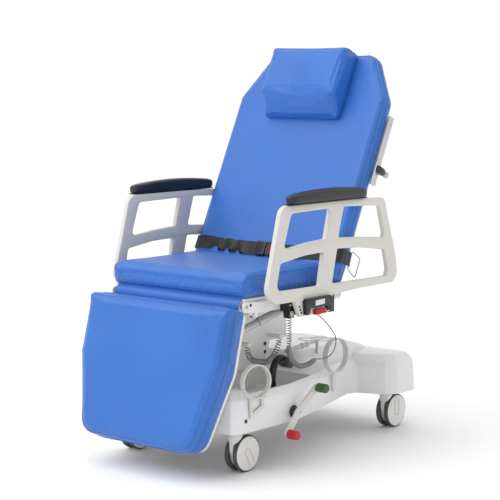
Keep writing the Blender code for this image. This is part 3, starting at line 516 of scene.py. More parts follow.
def joined(name, things, look, body, smooth=40):
    """Several shapes as one piece."""
    shape = bmesh.new()
    for thing in things:
        shape.from_mesh(thing.data)
        bpy.data.objects.remove(thing)
    mesh = bpy.data.meshes.new(name)
    shape.to_mesh(mesh)
    shape.free()
    piece = bpy.data.objects.new(name, mesh)
    scene.collection.objects.link(piece)
    return finish(piece, look, body, smooth)


def bolt(name, place, direction, radius, body, look="dark_steel", head=0.003):
    """A hexagon socket button head."""
    profile = [(0, 0), (0, radius), (head * 0.45, radius), (head * 0.85, radius * 0.8), (head, radius * 0.55)]
    profile += [(head, radius * 0.38), (head * 0.4, radius * 0.34), (head * 0.4, 0)]
    return turned(name, profile, along_axis(place, direction), look, body, sides=18, smooth=50)


# ---------------------------------------------------------------- floor

floor = made_of("floor", [(-70, -70, 0), (70, -70, 0), (70, 70, 0), (-70, 70, 0)], [(0, 1, 2, 3)], "floor",
    None, 0)


# ---------------------------------------------------------------- cords

CORD_X = 0.2615
CURL_X = 0.15


def coil_about(route, radius, pitch, per_turn=14, ease=0.006):
    """A helix wound round a route, its ends drawn in to the route's own line."""
    frames = frames_along(route)
    gone = [0.0]
    for a, b in zip(route, route[1:]):
        gone.append(gone[-1] + (b - a).length)
    total = gone[-1]
    count = max(per_turn, round(total / pitch * per_turn))
    made, at = [], 0
    for i in range(count + 1):
        far = total * i / count
        while at < len(route) - 2 and gone[at + 1] < far:
            at += 1
        share = (far - gone[at]) / max(gone[at + 1] - gone[at], 1e-9)
        here = route[at].lerp(route[at + 1], share)
        side = frames[at][1].lerp(frames[at + 1][1], share).normalized()
        up = frames[at][2].lerp(frames[at + 1][2], share).normalized()
        swell = min(1.0, far / ease, (total - far) / ease)
        turn = 2 * math.pi * far / pitch
        made.append(here + (side * math.cos(turn) + up * math.sin(turn)) * radius * swell)
    return made


def cord_piece(name, node, route, radius, look, **facts):
    body = body_of_node[node]
    piece = stands_for(tube(name, route, radius, look, body, sides=8), node)
    return piece


hanging = smooth_route([(CORD_X, -0.0986, 0.5357), (CORD_X, -0.0986, 0.47), (CORD_X, -0.0986, 0.395)], 0.004)
curl_wire = coil_about(hanging, *HANGING_COIL)
cord_piece("curly_cord_wire", "hanging_curly_cord", curl_wire, CURL_WIRE_R, "clear_coil", far_end="object",
    stiffness="medium", lay="hanging")

sleeve_stops = [(-0.0986, 0.3946), (-0.0986, 0.384), (-0.095, 0.364), (-0.0766, 0.3384), (-0.0376, 0.3154)]
sleeve_stops += [(0.0081, 0.3148), (0.048, 0.3248)]
sleeve_route = smooth_route([(CORD_X, *p) for p in sleeve_stops], 0.004)
cord_piece("ribbed_sleeve", "grey_sleeve", sleeve_route, SLEEVE_R, "grey_sleeve", far_end="object",
    stiffness="stiff", lay="hanging")

cable_stops = [(0.0488, 0.325), (0.06, 0.3262), (0.09, 0.3222), (0.123, 0.3238), (0.158, 0.3434),
    (0.1697, 0.38)]
cable_stops += [(0.1517, 0.412), (0.1047, 0.455), (0.056, 0.49), (0.046, 0.52), (0.046, 0.5357)]
cable_route = smooth_route([(CORD_X, *p) for p in cable_stops], 0.008)
cord_piece("release_cable", "thin_release_cable", cable_route, CABLE_R, "grey_coil", far_end="object",
    stiffness="medium", lay="hanging")

loop_stops = [(-0.015, 0.3986), (-0.015, 0.387), (-0.022, 0.368), (-0.043, 0.3415), (-0.076, 0.325),
    (-0.1095, 0.326)]
loop_stops += [(-0.148, 0.335), (-0.178, 0.354), (-0.189, 0.38), (-0.189, 0.3916)]
loop_route = smooth_route([(CURL_X, *p) for p in loop_stops], 0.004)
loop_wire = coil_about(loop_route, *LOOPED_COIL)
cord_piece("looped_cord_wire", "looped_curly_cord", loop_wire, LOOP_WIRE_R, "clear_coil", far_end="object",
    stiffness="medium", lay="hanging")

ribs = []
for i in range(3, len(sleeve_route) - 3):
    ribs.append(
        turned(
            f"sleeve_rib_{i}",
            [(-0.0009, 0.008), (-0.0006, 0.009), (0.0006, 0.009), (0.0009, 0.008)],
            along_axis(sleeve_route[i], sleeve_route[i + 1] - sleeve_route[i - 1]),
            None,
            None,
            sides=20,
        )
    )
joined("sleeve_ribs", ribs, "grey_sleeve", "seat_carriage")


# ---------------------------------------------------------------- base


def cover_outline(inset):
    half = [
        (0.29 - inset, -0.441 + inset, 0.01),
        (0.314 - inset, -0.402 + inset * 0.4, 0.012),
        (0.314 - inset, -0.13, 0.12),
        (0.29 - inset, -0.015, 0.2),
        (0.192 - inset, 0.33 + inset * 0.3, 0.018),
        (0.205 - inset * 0.8, 0.372 + inset * 0.9, 0.014),
        (0.306 - inset, 0.413 + inset, 0.008),
        (0.334 - inset, 0.45 + inset * 0.6, 0.01),
        (0.336 - inset, 0.56 - inset * 0.5, 0.012),
        (0.312 - inset, 0.588 - inset, 0.01),
    ]
    return rounded(half + [(-x, y, r) for x, y, r in reversed(half)], 3)


def boolean(thing, other, operation):
    step = thing.modifiers.new(operation.lower(), "BOOLEAN")
    step.operation = operation
    step.object = other
    step.solver = "EXACT"


def make_cover():
    levels = [(0.148, 0.0), (0.248, 0.004), (0.27, 0.022)]
    cover = loft("base_cover_moulding",
        [[(x, y, z) for x, y in cover_outline(inset)] for z, inset in levels], None, None)

    def level(half, front, rear, z, r=0.045):
        return [(x, y, z) for x, y in rectangle((-half, front), (half, rear), r, 4)]

    hump = [(0.173, 0.069, 0.552, 0.256), (0.161, 0.083, 0.502, 0.307), (0.13, 0.103, 0.432, 0.331)]
    parts = [("UNION", loft("hump_shape", [level(*h) for h in hump], None, None))]

    def rear_level(inset, z):
        half = [(0.196 - inset, 0.376 + inset, 0.008), (0.306 - inset, 0.4135 + inset, 0.008)]
        half += [(0.333 - inset, 0.45 + inset * 0.6, 0.008), (0.334 - inset, 0.56 - inset * 0.5, 0.01)]
        half.append((0.31 - inset, 0.587 - inset, 0.01))
        return [(x, y, z) for x, y in rounded(half + [(-x, y, r) for x, y, r in reversed(half)], 3)]

    rear = [(0.0035, 0.24), (0.006, 0.268), (0.026, 0.289), (0.07, 0.2945)]
    parts.append(("UNION", loft("rear_deck_shape", [rear_level(*r) for r in rear], None, None)))
    for side in (1, -1):
        foot = []
        for inset, z in ((-0.0005, 0.15), (0.004, 0.258), (0.024, 0.288)):
            corners = [(0.225 + inset, -0.44 + inset, 0.006), (0.29 - inset, -0.44 + inset, 0.006)]
            corners += [(0.3138 - inset, -0.402 + inset * 0.4, 0.006),
                (0.3138 - inset, -0.33 - inset * 1.6, 0.006)]
            corners.append((0.225 + inset, -0.345 - inset, 0.006))
            foot.append([(side * x, y, z) for x, y in rounded(corners, 3)])
        parts.append(("UNION", loft(f"foot_shape_{side}", foot, None, None)))
    tub = rounded(
        [
            (-0.262, -0.335, 0.02), (0.262, -0.335, 0.02), (0.282, -0.29, 0.03), (0.282, -0.12, 0.08),
            (0.25, 0.045, 0.02),
            (-0.25, 0.045, 0.02), (-0.282, -0.12, 0.08), (-0.282, -0.29, 0.03),
        ]
    )
    parts.append(
        ("DIFFERENCE",
        loft("tub_shape",
        [[(x * w, y * w, z) for x, y in tub] for z, w in ((0.21, 0.965), (0.222, 0.985), (0.3, 1.0))], None,
        None)))
    hollow = [[(x, y, z) for x, y in cover_outline(0.012)] for z in (0.128, 0.2)]
    parts.append(("DIFFERENCE", loft("cover_hollow", hollow, None, None)))
    box = [(-0.0468, -0.1068), (0.0468, -0.1068), (0.0468, -0.0132), (-0.0468, -0.0132)]
    parts.append(
        ("DIFFERENCE", loft("column_well", [[(x, y, z) for x, y in box] for z in (0.19, 0.23)], None, None)))
    hole = turned("shaft_hole", [(-0.36, 0.0125), (0.36, 0.0125)], along_axis((0, *PEDAL_AXIS), (1, 0, 0)),
        None, None, 24)
    parts.append(("DIFFERENCE", hole))
    for operation, shape in parts:
        boolean(cover, shape, operation)
    cover = applied(cover)
    for _, shape in parts:
        bpy.data.objects.remove(shape)
    shape = bmesh.new()
    shape.from_mesh(cover.data)
    bmesh.ops.remove_doubles(shape, verts=shape.verts, dist=5e-5)
    bmesh.ops.dissolve_limit(shape, angle_limit=math.radians(1.0), verts=shape.verts, edges=shape.edges)
    shape.to_mesh(cover.data)
    shape.free()
    cover = bevelled(cover, 0.0022, 2, 24)
    finish(cover, "white_plastic", "base", 24)
    stands_for(cover, "base_cover")
    for side in (1, -1):
        bolt(f"foot_screw_{side}", (side * 0.3135, -0.389, 0.188), (side, 0, 0), 0.007, "base",
            "dark_steel", 0.002)
        profile = [(0, 0.0135), (0, 0.0215), (0.003, 0.0215), (0.0045, 0.0195), (0.0045, 0.0135)]
        where = along_axis((side * 0.3135, *PEDAL_AXIS), (side, 0, 0))
        turned(f"shaft_flange_{side}", profile, where, "dark_steel", "base", 36)


make_cover()
refined("chassis_frame", "dark_steel", 0.002)
refined("lift_column_outer", "white_paint", 0.004, 3)
refined("lift_column_inner", "steel", 0.004, 3)
refined("lift_jack_cylinder", "dark_steel", 0.001)
refined("pump_lever_bracket", "black_plastic", 0.002)


FRONT_MARK, REAR_MARK = 208, 0


def make_wheels(name, x, y):
    """Two wheels on an axle: dark tyres, and pale discs with a raised rim and an oblong loop moulded in; the loop is a
    thin grey tube laid on each disc, painted shade of the groove.
    """
    axle_y = y + CASTER_TRAIL
    body = f"wheels_{name}"
    tyres, discs, groove_shades = [], [], []
    for side in (1, -1):
        where = along_axis((x + side * 0.0185, axle_y, WHEEL_R), (side, 0, 0))
        tread = [(-0.0085, 0.046), (-0.009, 0.056), (-0.007, 0.061), (-0.003, WHEEL_R), (0.0025, WHEEL_R)]
        tread += [(0.0062, 0.0612), (0.0078, 0.058), (0.0072, 0.046)]
        tyres.append(turned(f"tyre_{name}_{side}", tread, where, None, None, 56))
        disc = [(-0.0086, 0.0), (-0.0086, 0.05), (-0.006, 0.0545), (0.007, 0.0578), (0.0084, 0.0572),
            (0.0088, 0.056)]
        disc += [(0.008, 0.0545), (0.0084, 0.053), (0.009, 0.03), (0.009, 0.0)]
        discs.append(turned(f"disc_{name}_{side}", disc, where, None, None, 56))
        # painted shade: each disc's moulded groove is a thin grey tube laid on its face, not a recess
        bend = 0.0125
        loop = [Vector((bend * math.cos(w), 0.004 + bend * math.sin(w), 0))
            for w in (math.pi * k / 16 for k in range(17))]
        loop = [Vector((bend, -0.044, 0)), Vector((bend, -0.02, 0)), *loop, Vector((-bend, -0.02, 0)),
            Vector((-bend, -0.044, 0))]
        spin = Matrix.Rotation(math.radians(FRONT_MARK if "front" in name else REAR_MARK), 4, "Z")
        route = [where @ spin @ (p + Vector((0, 0, 0.00905))) for p in loop]
        groove_shades.append(tube(f"mark_{name}_{side}", route, 0.0009, None, None, 6))
    for thing in (
        joined(f"tyres_{name}", tyres, "grey_rubber", body),
        joined(f"wheel_discs_{name}", discs, "caster_white", body, 35),
        joined(f"wheel_marks_{name}", groove_shades, "groove_shade_grey", body),
    ):
        last = thing
    axle = turned(
        f"axle_{name}",
        [(-0.0265, 0), (-0.0265, 0.006), (0.0265, 0.006), (0.0265, 0)],
        along_axis((x, axle_y, WHEEL_R), (1, 0, 0)),
        "steel",
        body,
        20,
    )
    stands_for(bpy.data.objects[f"tyres_{name}"], f"caster_wheels_{name}")
    return last, axle


def make_housing(name, x, y):
    """The swivelling stem housing: a tapering neck that flows into a hood between the wheels."""
    body = f"caster_{name}"
    neck = []
    for z, r, back in ((0.1465, 0.0235, 0), (0.144, 0.024, 0), (0.11, 0.0236, 0.001), (0.09, 0.0228, 0.003),
        (0.078, 0.02, 0.006)):
        wide = r if z > 0.1 else r * 0.98
        neck.append(
            [(x + wide * math.cos(w), y + back + r * math.sin(w), z)
            for w in (2 * math.pi * i / 40 for i in range(40))])
    shapes = [loft(f"neck_{name}", neck, None, None)]
    outline = rounded(
        [(-0.0236, 0.146, 0.003), (-0.0236, 0.07, 0.05), (0.01, 0.02, 0.02), (0.06, 0.018, 0.02),
        (0.082, 0.06, 0.035), (0.06, 0.12, 0.03), (0.0236, 0.146, 0.004)],
        6,
    )
    hood = plate(f"hood_{name}", [outline], placed((x, y, 0), (0, 1, 0), (0, 0, 1)), 0.015, 0.003, None, None)
    shapes.append(hood)
    shapes.append(
        turned(f"stem_{name}", [(0.14, 0), (0.14, 0.011), (0.19, 0.011), (0.192, 0.01), (0.192, 0)],
        Matrix.Translation((x, y, 0)), None, None, 24))
    neck_piece = shapes[0]
    for side in (1, -1):
        cutter = turned(
            f"room_{name}_{side}", [(-0.002, 0.0645), (0.026, 0.0645)],
            along_axis((x + side * 0.01, y + CASTER_TRAIL, WHEEL_R), (side, 0, 0)), None, None, 64,
        )
        boolean(neck_piece, cutter, "DIFFERENCE")
        shapes.append(cutter)
    neck_piece = applied(neck_piece)
    for cutter in shapes[3:]:
        bpy.data.objects.remove(cutter)
    piece = joined(f"caster_hood_{name}", [neck_piece, shapes[1], shapes[2]], "caster_white", body)
    stands_for(piece, f"caster_housing_{name}")
    collar = [(0.1452, 0.012), (0.1452, 0.0215), (0.1475, 0.0215), (0.1475, 0.012)]
    turned(f"swivel_collar_{name}", collar, Matrix.Translation((x, y, 0)), "steel", body, 32)


for end, y in zip(("front", "rear"), CASTER_Y):
    for side, label in ((1, "left"), (-1, "right")):
        make_wheels(f"{end}_{label}", side * CASTER_X, y)
        make_housing(f"{end}_{label}", side * CASTER_X, y)


def make_pedals():
    y, z = PEDAL_AXIS
    green, red = Vector((-0.043, 0.252)), Vector((-0.202, 0.117))
    along = (green - red).normalized()
    across = Vector((-along.y, along.x))
    shaft = turned("pedal_shaft", [(-0.343, 0), (-0.343, 0.009), (0.343, 0.009), (0.343, 0)],
        along_axis((0, y, z), (1, 0, 0)), "steel", "brake_linkage", 28)
    stands_for(shaft, "brake_cross_shaft")
    for side, label in ((1, "left"), (-1, "right")):
        middle = Vector((y, z)) + across * 0.004
        line = [red - along * 0.011, middle, green + along * 0.011]
        lower = [(p - across * w).to_tuple() for p, w in zip(line, (0.011, 0.0135, 0.011))]
        upper = [(p + across * w).to_tuple() for p, w in zip(line, (0.011, 0.0135, 0.011))]
        corners = [(*lower[0], 0.0108), (*lower[1], 0.05), (*lower[2], 0.0108), (*upper[2], 0.0108),
            (*upper[1], 0.05), (*upper[0], 0.0108)]
        plate(f"pedal_arm_{label}", [rounded(corners)], side_plane(side * 0.338), 0.011, 0.0016,
            "beige_plastic", "brake_linkage")
        bolt(f"pedal_bolt_{label}", (side * 0.3433, y, z), (side, 0, 0), 0.005, "brake_linkage", "steel",
            0.0015)
        for color, place in (("green", green), ("red", red)):
            start = along_axis((side * 0.3443, *place), (side, 0, 0))
            profile = [(0, 0), (0, 0.0135), (0.0015, 0.015)]
            for k in range(6):
                a = 0.003 + k * 0.0058
                profile += [(a, 0.0152), (a + 0.0008, 0.016), (a + 0.004, 0.016), (a + 0.0048, 0.0152)]
            profile += [(0.0385, 0.015), (0.04, 0.0135), (0.0404, 0.008), (0.0404, 0)]
            tread = turned(f"{color}_pedal_tread_{label}", profile, start, f"{color}_rubber",
                "brake_linkage", 36)
            stands_for(tread, f"{color}_tread_{label}")


make_pedals()


def make_hoop(name, node, centre, turn, r, legs):
    """A flat band hoop with softened edges, and its strap legs."""
    across = Vector((math.cos(turn), -math.sin(turn), 0))
    along = Vector((math.sin(turn), math.cos(turn), 0))
    where = placed(centre, along, (0, 0, 1))
    if where.col[2].xyz.dot(across) < 0:
        where = placed(centre, -along, (0, 0, 1))
    w, t = 0.01125, 0.0042
    profile = [(-w, r - t + 0.0008), (-w, r - 0.0008), (-w + 0.0008, r), (w - 0.0008, r), (w, r - 0.0008),
        (w, r - t + 0.0008), (w - 0.0008, r - t), (-w + 0.0008, r - t)]
    sides = 72
    rings = []
    for k in range(sides):
        a = 2 * math.pi * k / sides
        rings.append([where @ Vector((q * math.cos(a), q * math.sin(a), p)) for p, q in profile])
    count = len(profile)
    points = [p for ring in rings for p in ring]
    faces = []
    for k in range(sides):
        a, b = k * count, ((k + 1) % sides) * count
        faces += [(a + i, a + (i + 1) % count, b + (i + 1) % count, b + i) for i in range(count)]
    band = made_of(name, points, faces, "beige_plastic", "base", 35)
    stands_for(band, node)
    for i, (outline, matrix, thick) in enumerate(legs):
        plate(f"{name}_leg_{i}", [outline], matrix, thick, min(0.0012, thick * 0.3), "beige_plastic", "base")


front_hoop = (0.331, -0.36, 0.319)
low = front_hoop[2] - 0.0575
leg_frame = [
    [(-0.372, 0.192), (-0.3, 0.222), (-0.305, low + 0.012), (-0.318, low + 0.009), (-0.313, 0.231),
    (-0.357, 0.213), (-0.362, low + 0.004), (-0.376, low + 0.004)],
]
make_hoop(
    "front_bottle_band", "front_bottle_hoop", front_hoop, math.radians(13), 0.0575,
    [(leg_frame[0], side_plane(0.3166), 0.004),
    (rectangle((0.3148, low - 0.001), (0.34, low + 0.003), 0.001, 2),
    placed((0, -0.34, 0), (1, 0, 0), (0, 0, 1)), 0.062)],
)
rear_hoop = (0.248, 0.187, 0.32)
post = [(0.179, 0.187), (0.195, 0.187), (0.195, rear_hoop[2] - 0.0615), (0.179, rear_hoop[2] - 0.0615)]
make_hoop("rear_bottle_band", "rear_bottle_hoop", rear_hoop, 0.0, 0.0635, [(post, side_plane(0.241), 0.006)])


def make_lever():
    x = 0.19
    stops = [(-0.099, 0.225), (-0.099, 0.245), (-0.102, 0.27), (-0.097, 0.3), (-0.082, 0.328),
        (-0.058, 0.341), (-0.034, 0.335)]
    route = smooth_route([(x, *p) for p in stops], 0.004)

    def girth(s):
        return 0.0095 + 0.0035 * math.sin(math.pi * min(1, s * 1.15)) + (0.0015 if 0.04 < s < 0.1 else 0)

    piece = tube("foot_lever_arm", route, girth, "black_plastic", "foot_lever", 24)
    stands_for(piece, "pump_lever")
    profile = [(-0.021, 0), (-0.021, 0.016), (-0.0185, 0.0185)]
    for k in range(6):
        a = -0.0165 + k * 0.0068
        profile += [(a, 0.0186), (a + 0.001, 0.0196), (a + 0.0042, 0.0196), (a + 0.0052, 0.0186)]
    profile += [(0.025, 0.018), (0.027, 0.015), (0.027, 0)]
    turned("foot_lever_tread", profile, along_axis((x, -0.026, 0.32), (1, 0, 0)), "grey_rubber",
        "foot_lever", 36)
    bolt("foot_lever_pin", (x + 0.02, -0.099, 0.234), (1, 0, 0), 0.006, "base", "steel")
    for k in range(5):
        here = route[4 + k]
        ring = [(-0.0008, 0.01), (-0.0005, 0.0128), (0.0005, 0.0128), (0.0008, 0.01)]
        turned(f"lever_boot_{k}", ring, along_axis(here, route[5 + k] - route[3 + k]), "black_plastic",
            "foot_lever", 28)


make_lever()


def make_gas_spring():
    x = 0.15
    start, end = Vector((x, 0.024, 0.3465)), Vector((x, 0.212, 0.359))
    length = (end - start).length
    where = along_axis(start, end - start)
    profile = [(0, 0), (0, 0.0075), (0.002, 0.0085), (length * 0.44, 0.0085), (length * 0.445, 0.007),
        (length * 0.455, 0.007)]
    profile += [(length * 0.46, 0.0104), (length * 0.52, 0.0104), (length * 0.525, 0.0085),
        (length * 0.6, 0.0085)]
    profile += [(length * 0.615, 0.0105), (length * 0.64, 0.0105), (length * 0.65, 0.0046),
        (length, 0.0046), (length, 0)]
    spring = turned("gas_spring_body", profile, where, "silver_paint", "base", 32)
    stands_for(spring, "base_gas_spring")
    turned("gas_spring_post", [(0.25, 0), (0.25, 0.006), (0.362, 0.006), (0.364, 0.005), (0.364, 0)],
        Matrix.Translation((x, 0.205, 0)), "steel", "base", 20)
    for k, (far, lean, low) in enumerate(((0.07, 0.35, 0.366), (0.052, -0.1, 0.371))):
        ring = []
        for step in range(37):
            w = 2 * math.pi * step / 36
            ring.append(
                Vector((x + 0.01 + lean * 0.1 * math.cos(w) + 0.006 * math.sin(w), 0.2 + far * math.cos(w),
                low + 0.0065 * math.sin(w) - 0.006 * math.cos(w))))
        tube(f"spring_clip_wire_{k}", ring, 0.0013, "steel", "base", 8)


make_gas_spring()


# ---------------------------------------------------------------- seat carriage

refined("seat_frame", "white_paint", 0.0025)
refined("seat_deck", "white_paint", 0.0015)
refined("lift_side_plate_left", "white_paint", 0.0012)
refined("lift_side_plate_right", "white_paint", 0.0012)
refined("arm_clamp_left", "black_plastic", 0.0025, 3)
refined("arm_clamp_right", "black_plastic", 0.0025, 3)
refined("back_hinge_shaft", "steel", 0.001)
for z in (0.377, 0.348):
    bolt(f"plate_bolt_{z:.3f}", (0.1065, -0.04, z), (1, 0, 0), 0.007, "seat_carriage")


def make_hinge_brackets():
    """The leg hinge's end brackets: a plate with two bolts and a tongue hanging from it."""
    shaft = turned("leg_shaft_bar", [(-0.2995, 0), (-0.2995, 0.0065), (0.2995, 0.0065), (0.2995, 0)],
        along_axis((0, *LEG_PIVOT), (1, 0, 0)), "steel", "seat_carriage", 24)
    stands_for(shaft, "leg_hinge_shaft")
    for side, label in ((1, "left"), (-1, "right")):
        outline = rounded(
            [(-0.389, 0.546, 0.01), (-0.33, 0.542, 0.006), (-0.33, 0.526, 0.003), (-0.314, 0.526, 0.003),
            (-0.314, 0.541, 0.006), (-0.275, 0.539, 0.004), (-0.275, 0.575, 0.004), (-0.389, 0.581, 0.012)])
        plate(f"leg_bracket_{label}", [outline], side_plane(side * 0.299), 0.006, 0.0012, "white_paint",
            "seat_carriage")
        bolt(f"leg_bolt_a_{label}", (side * 0.302, -0.372, 0.564), (side, 0, 0), 0.0065, "seat_carriage",
            "steel")
        bolt(f"leg_bolt_b_{label}", (side * 0.302, -0.352, 0.5685), (side, 0, 0), 0.005, "seat_carriage")
        for k, (y, z) in enumerate(((-0.182, 0.552), (-0.168, 0.556), (0.045, 0.552), (0.045, 0.522))):
            bolt(f"clamp_bolt_{k}_{label}", (side * 0.334, y, z), (side, 0, 0), 0.0042, "seat_carriage",
                "steel")
        ring = [(0, 0.004), (0, 0.0098), (0.002, 0.0105), (0.004, 0.0098), (0.004, 0.004)]
        turned(f"clamp_ring_{label}", ring, along_axis((side * 0.3335, -0.176, 0.522), (side, 0, 0)),
            "steel", "seat_carriage", 28)


make_hinge_brackets()


def make_leg_actuator():
    start, end = Vector((0.225, -0.047, 0.526)), Vector((0.225, -0.395, 0.451))
    along = (end - start).normalized()
    where = along_axis(start, along)
    profile = [(0, 0), (0, 0.012), (0.003, 0.0145), (0.006, 0.0145), (0.0062, 0.0136), (0.0085, 0.0136),
        (0.0087, 0.0145)]
    profile += [(0.168, 0.0145), (0.1682, 0.015), (0.177, 0.015), (0.18, 0.0132), (0.18, 0.0084),
        (0.05, 0.0084), (0.05, 0)]
    stands_for(turned("actuator_cylinder", profile, where, "silver_paint", "actuator_tube", 40),
        "leg_actuator_tube")
    total = (end - start).length - 0.016
    rod = [(0.08, 0), (0.08, 0.0076), (0.184, 0.0076), (0.1845, 0.0118), (0.186, 0.0128),
        (total - 0.034, 0.0128), (total - 0.03, 0.012)]
    rod += [(total - 0.029, 0.0076), (total - 0.002, 0.0076), (total, 0.006), (total, 0)]
    stands_for(turned("actuator_piston", rod, where, "silver_paint", "actuator_rod", 32), "leg_actuator_rod")
    beam = rounded(
        [(-0.268, 0.5, 0.003), (-0.268, 0.452, 0.003), (-0.096, 0.482, 0.003), (-0.096, 0.522, 0.003)])
    plate("carriage_beam", [beam], side_plane(0.128), 0.012, 0.002, "white_paint", "seat_carriage")
    bolt("carriage_beam_screw", (0.134, -0.15, 0.488), (1, 0, 0), 0.0035, "seat_carriage")


make_leg_actuator()


# ---------------------------------------------------------------- leg rest and backrest shells

refined("leg_panel", "white_paint", 0.002)
refined("back_panel", "white_paint", 0.0015)
refined("back_frame", "white_paint", 0.002)


def make_side_rails():
    up = (0, math.sin(BACK_TILT), math.cos(BACK_TILT))
    for side, label in ((1, "left"), (-1, "right")):
        low, high = 0.34, 0.349
        mid = on_back(side * (low + high) / 2, 0, 0.0565)
        along = placed(mid, (0, math.cos(BACK_TILT), -math.sin(BACK_TILT)), up)
        outline = rectangle((-0.0125, 0.368), (0.0125, 0.63), 0.002)
        rail = plate(f"accessory_rail_{label}", [outline], along, high - low, 0.001, "aluminium", "backrest")
        stands_for(rail, f"side_rail_{label}")
        for k, t in enumerate((0.398, 0.59)):
            strap = rounded(
                [(0.3, t, 0.002), (0.341, t, 0.001), (0.341, t + 0.02, 0.001), (0.3, t + 0.02, 0.002)])
            plate(f"rail_strap_{k}_{label}", [[(side * a, b) for a, b in strap]], back_plane(0.0616),
                0.0048, 0.001, "white_paint", "backrest")
            bolt(f"rail_bolt_{k}_{label}", on_back(side * 0.349, t + 0.01, 0.0565), (side, 0, 0), 0.0048,
                "backrest", "steel", 0.002)
        spacer = rectangle((-0.0095, 0.385), (0.0085, 0.612), 0.002)
        plate(f"rail_spacer_{label}", [spacer],
            placed(on_back(side * 0.338, 0, 0.066), (0, math.cos(BACK_TILT), -math.sin(BACK_TILT)), up),
            0.0034, 0.0008, "black_plastic", "backrest")


make_side_rails()
refined("rail_clamp", "black_plastic", 0.0018)


def make_knob():
    start = on_back(0.35, 0.428, 0.0863)
    direction = on_back(0.35, 0.428, 0.2) - start
    where = along_axis(start, direction)
    rings = []
    for along, radius, lobe in ((0, 0.0045, 0), (0.006, 0.0045, 0), (0.0065, 0.0095, 0.0006),
        (0.009, 0.0112, 0.0012), (0.024, 0.0112, 0.0012), (0.029, 0.0098, 0.0008), (0.031, 0.006, 0)):
        ring = []
        for k in range(48):
            w = 2 * math.pi * k / 48
            r = radius + lobe * math.cos(8 * w)
            ring.append(where @ Vector((r * math.cos(w), r * math.sin(w), along)))
        rings.append(ring)
    knob = loft("clamp_knob_grip", rings, "silver_paint", "clamp_knob", 35)
    stands_for(knob, "rail_clamp_knob")


make_knob()


# ---------------------------------------------------------------- arms


